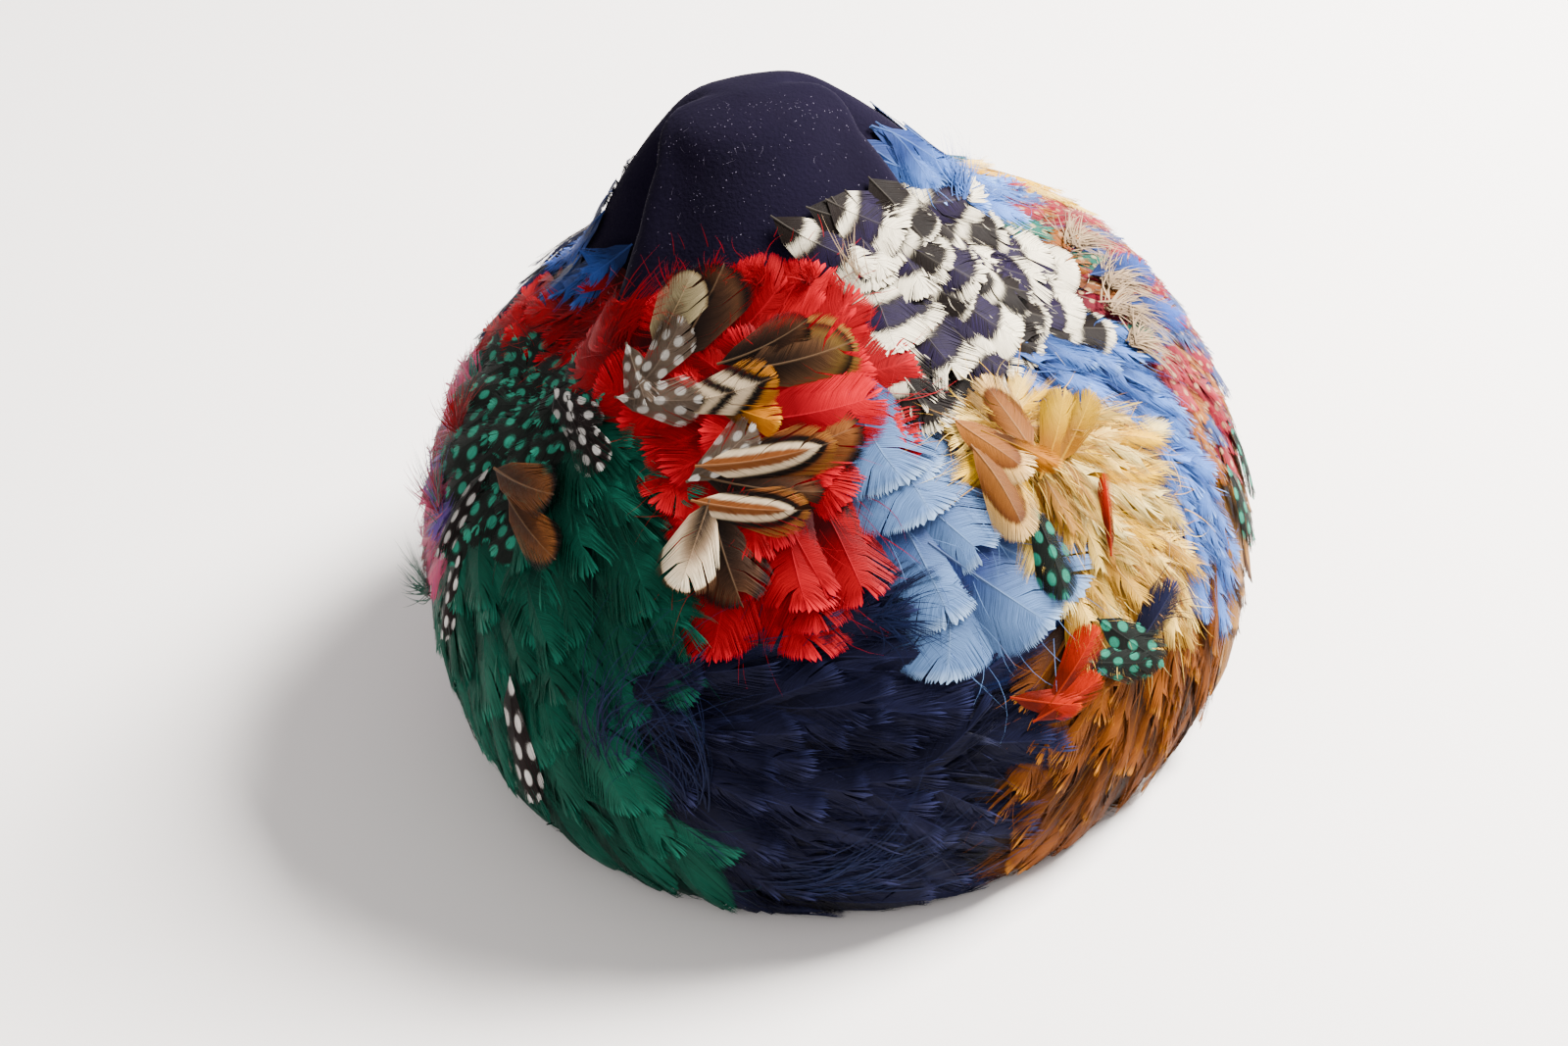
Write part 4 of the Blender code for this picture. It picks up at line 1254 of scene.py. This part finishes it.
class FeltSettings(bpy.types.PropertyGroup):
    columns: IntProperty(name="Columns", description="Faces round the felt", default=168, min=24)
    rows: IntProperty(name="Rows", description="Rows of points from near the rim to the tip",
                      default=96, min=12)
    colour: FloatVectorProperty(name="Colour", description="Lighter patches of the felt", size=3,
                                subtype="COLOR", default=(0.0028, 0.0014, 0.0100), min=0.0, max=1.0)
    shade: FloatVectorProperty(name="Shade", description="Darker patches of the felt", size=3,
                               subtype="COLOR", default=(0.0014, 0.0006, 0.0040), min=0.0, max=1.0)
    lint: IntProperty(name="Lint", description="Fibres scattered for the bare felt", default=620, min=0)


class FeatherSettings(bpy.types.PropertyGroup):
    barbs: FloatProperty(name="Barbs", description="Barbs on each side for a millimetre of a feather",
                         default=1.32, min=0.3, max=3.0)
    density: FloatProperty(name="Density", description="Feathers for each spacing of the block",
                           default=1.0, min=0.3, max=2.0)
    strands: FloatProperty(name="Strands", description="Loose strands for each block's own share",
                           default=1.0, min=0.0, max=3.0)
    seed: IntProperty(name="Seed", description="Start of the random numbers", default=11)


class StageSettings(bpy.types.PropertyGroup):
    elevation: FloatProperty(name="Elevation", description="Camera angle above the level",
                             default=math.radians(38.0), subtype="ANGLE")
    roll: FloatProperty(name="Roll", description="Lean of the hat in the picture",
                        default=math.radians(10.0), subtype="ANGLE")
    distance: FloatProperty(name="Distance", description="Camera to hat", default=0.95, unit="LENGTH")
    lens: FloatProperty(name="Lens", description="Focal length", default=74.97, unit="CAMERA")
    sky: FloatProperty(name="Sky", description="Strength of the light from all round", default=0.74)


class HAT_OT_felt(bpy.types.Operator):
    """Build the felt body with its peak and pleats, and the lint on it"""

    bl_idname = "hat.felt"
    bl_label = "Felt"

    def execute(self, context):
        settings = context.scene.hat_felt
        make_felt(settings.columns, settings.rows, tuple(settings.colour), tuple(settings.shade))
        make_lint(settings.lint, LINT_SEED)
        return {"FINISHED"}


class HAT_OT_feather_blocks(bpy.types.Operator):
    """Lay the plain and patterned feathers of every colour block"""

    bl_idname = "hat.feather_blocks"
    bl_label = "Feather blocks"

    def execute(self, context):
        settings = context.scene.hat_feathers
        make_blocks(settings.density, settings.strands, settings.barbs, settings.seed)
        return {"FINISHED"}


class HAT_OT_marked_feathers(bpy.types.Operator):
    """Lay the single marked feathers over the blocks"""

    bl_idname = "hat.marked_feathers"
    bl_label = "Marked feathers"

    def execute(self, context):
        settings = context.scene.hat_feathers
        make_marked(settings.barbs, settings.seed + MARKED_SEED)
        return {"FINISHED"}


class HAT_OT_wisps(bpy.types.Operator):
    """Lay tufts of loose curling barbs over the blocks"""

    bl_idname = "hat.wisps"
    bl_label = "Wisps"

    def execute(self, context):
        make_wisps(context.scene.hat_feathers.seed + WISP_SEED)
        return {"FINISHED"}


class HAT_OT_stage(bpy.types.Operator):
    """Set up the floor, the lights and the camera"""

    bl_idname = "hat.stage"
    bl_label = "Stage"

    def execute(self, context):
        settings = context.scene.hat_stage
        make_floor()
        make_light("key", (1.10, 0.35, 1.10), 185.0, 0.60, (1.0, 0.97, 0.93))
        make_light("fill", (-0.7, -1.1, 0.9), 3.0, 1.2, (0.98, 0.97, 1.0))
        make_world(settings.sky)
        make_camera(settings.elevation, settings.roll, settings.distance, settings.lens)
        return {"FINISHED"}


class HAT_PT_panel(bpy.types.Panel):
    """Buttons and settings of the feather hat"""

    bl_label = "Feather hat"
    bl_idname = "HAT_PT_panel"
    bl_space_type = "VIEW_3D"
    bl_region_type = "UI"
    bl_category = "Feather hat"

    def draw(self, context):
        scene = context.scene
        for operator in OPERATORS:
            self.layout.operator(operator.bl_idname)
        for group in (scene.hat_felt, scene.hat_feathers, scene.hat_stage):
            for key in group.__annotations__:
                self.layout.prop(group, key)


OPERATORS = (HAT_OT_felt, HAT_OT_feather_blocks, HAT_OT_marked_feathers, HAT_OT_wisps, HAT_OT_stage)
CLASSES = (FeltSettings, FeatherSettings, StageSettings, *OPERATORS, HAT_PT_panel)


def register():
    for item in CLASSES:
        bpy.utils.register_class(item)
    bpy.types.Scene.hat_felt = PointerProperty(type=FeltSettings)
    bpy.types.Scene.hat_feathers = PointerProperty(type=FeatherSettings)
    bpy.types.Scene.hat_stage = PointerProperty(type=StageSettings)


def unregister():
    del bpy.types.Scene.hat_felt
    del bpy.types.Scene.hat_feathers
    del bpy.types.Scene.hat_stage
    for item in reversed(CLASSES):
        bpy.utils.unregister_class(item)


def main():
    register()
    bpy.ops.hat.felt()
    bpy.ops.hat.feather_blocks()
    bpy.ops.hat.marked_feathers()
    bpy.ops.hat.wisps()
    bpy.ops.hat.stage()
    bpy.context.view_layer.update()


if __name__ == "__main__":
    main()
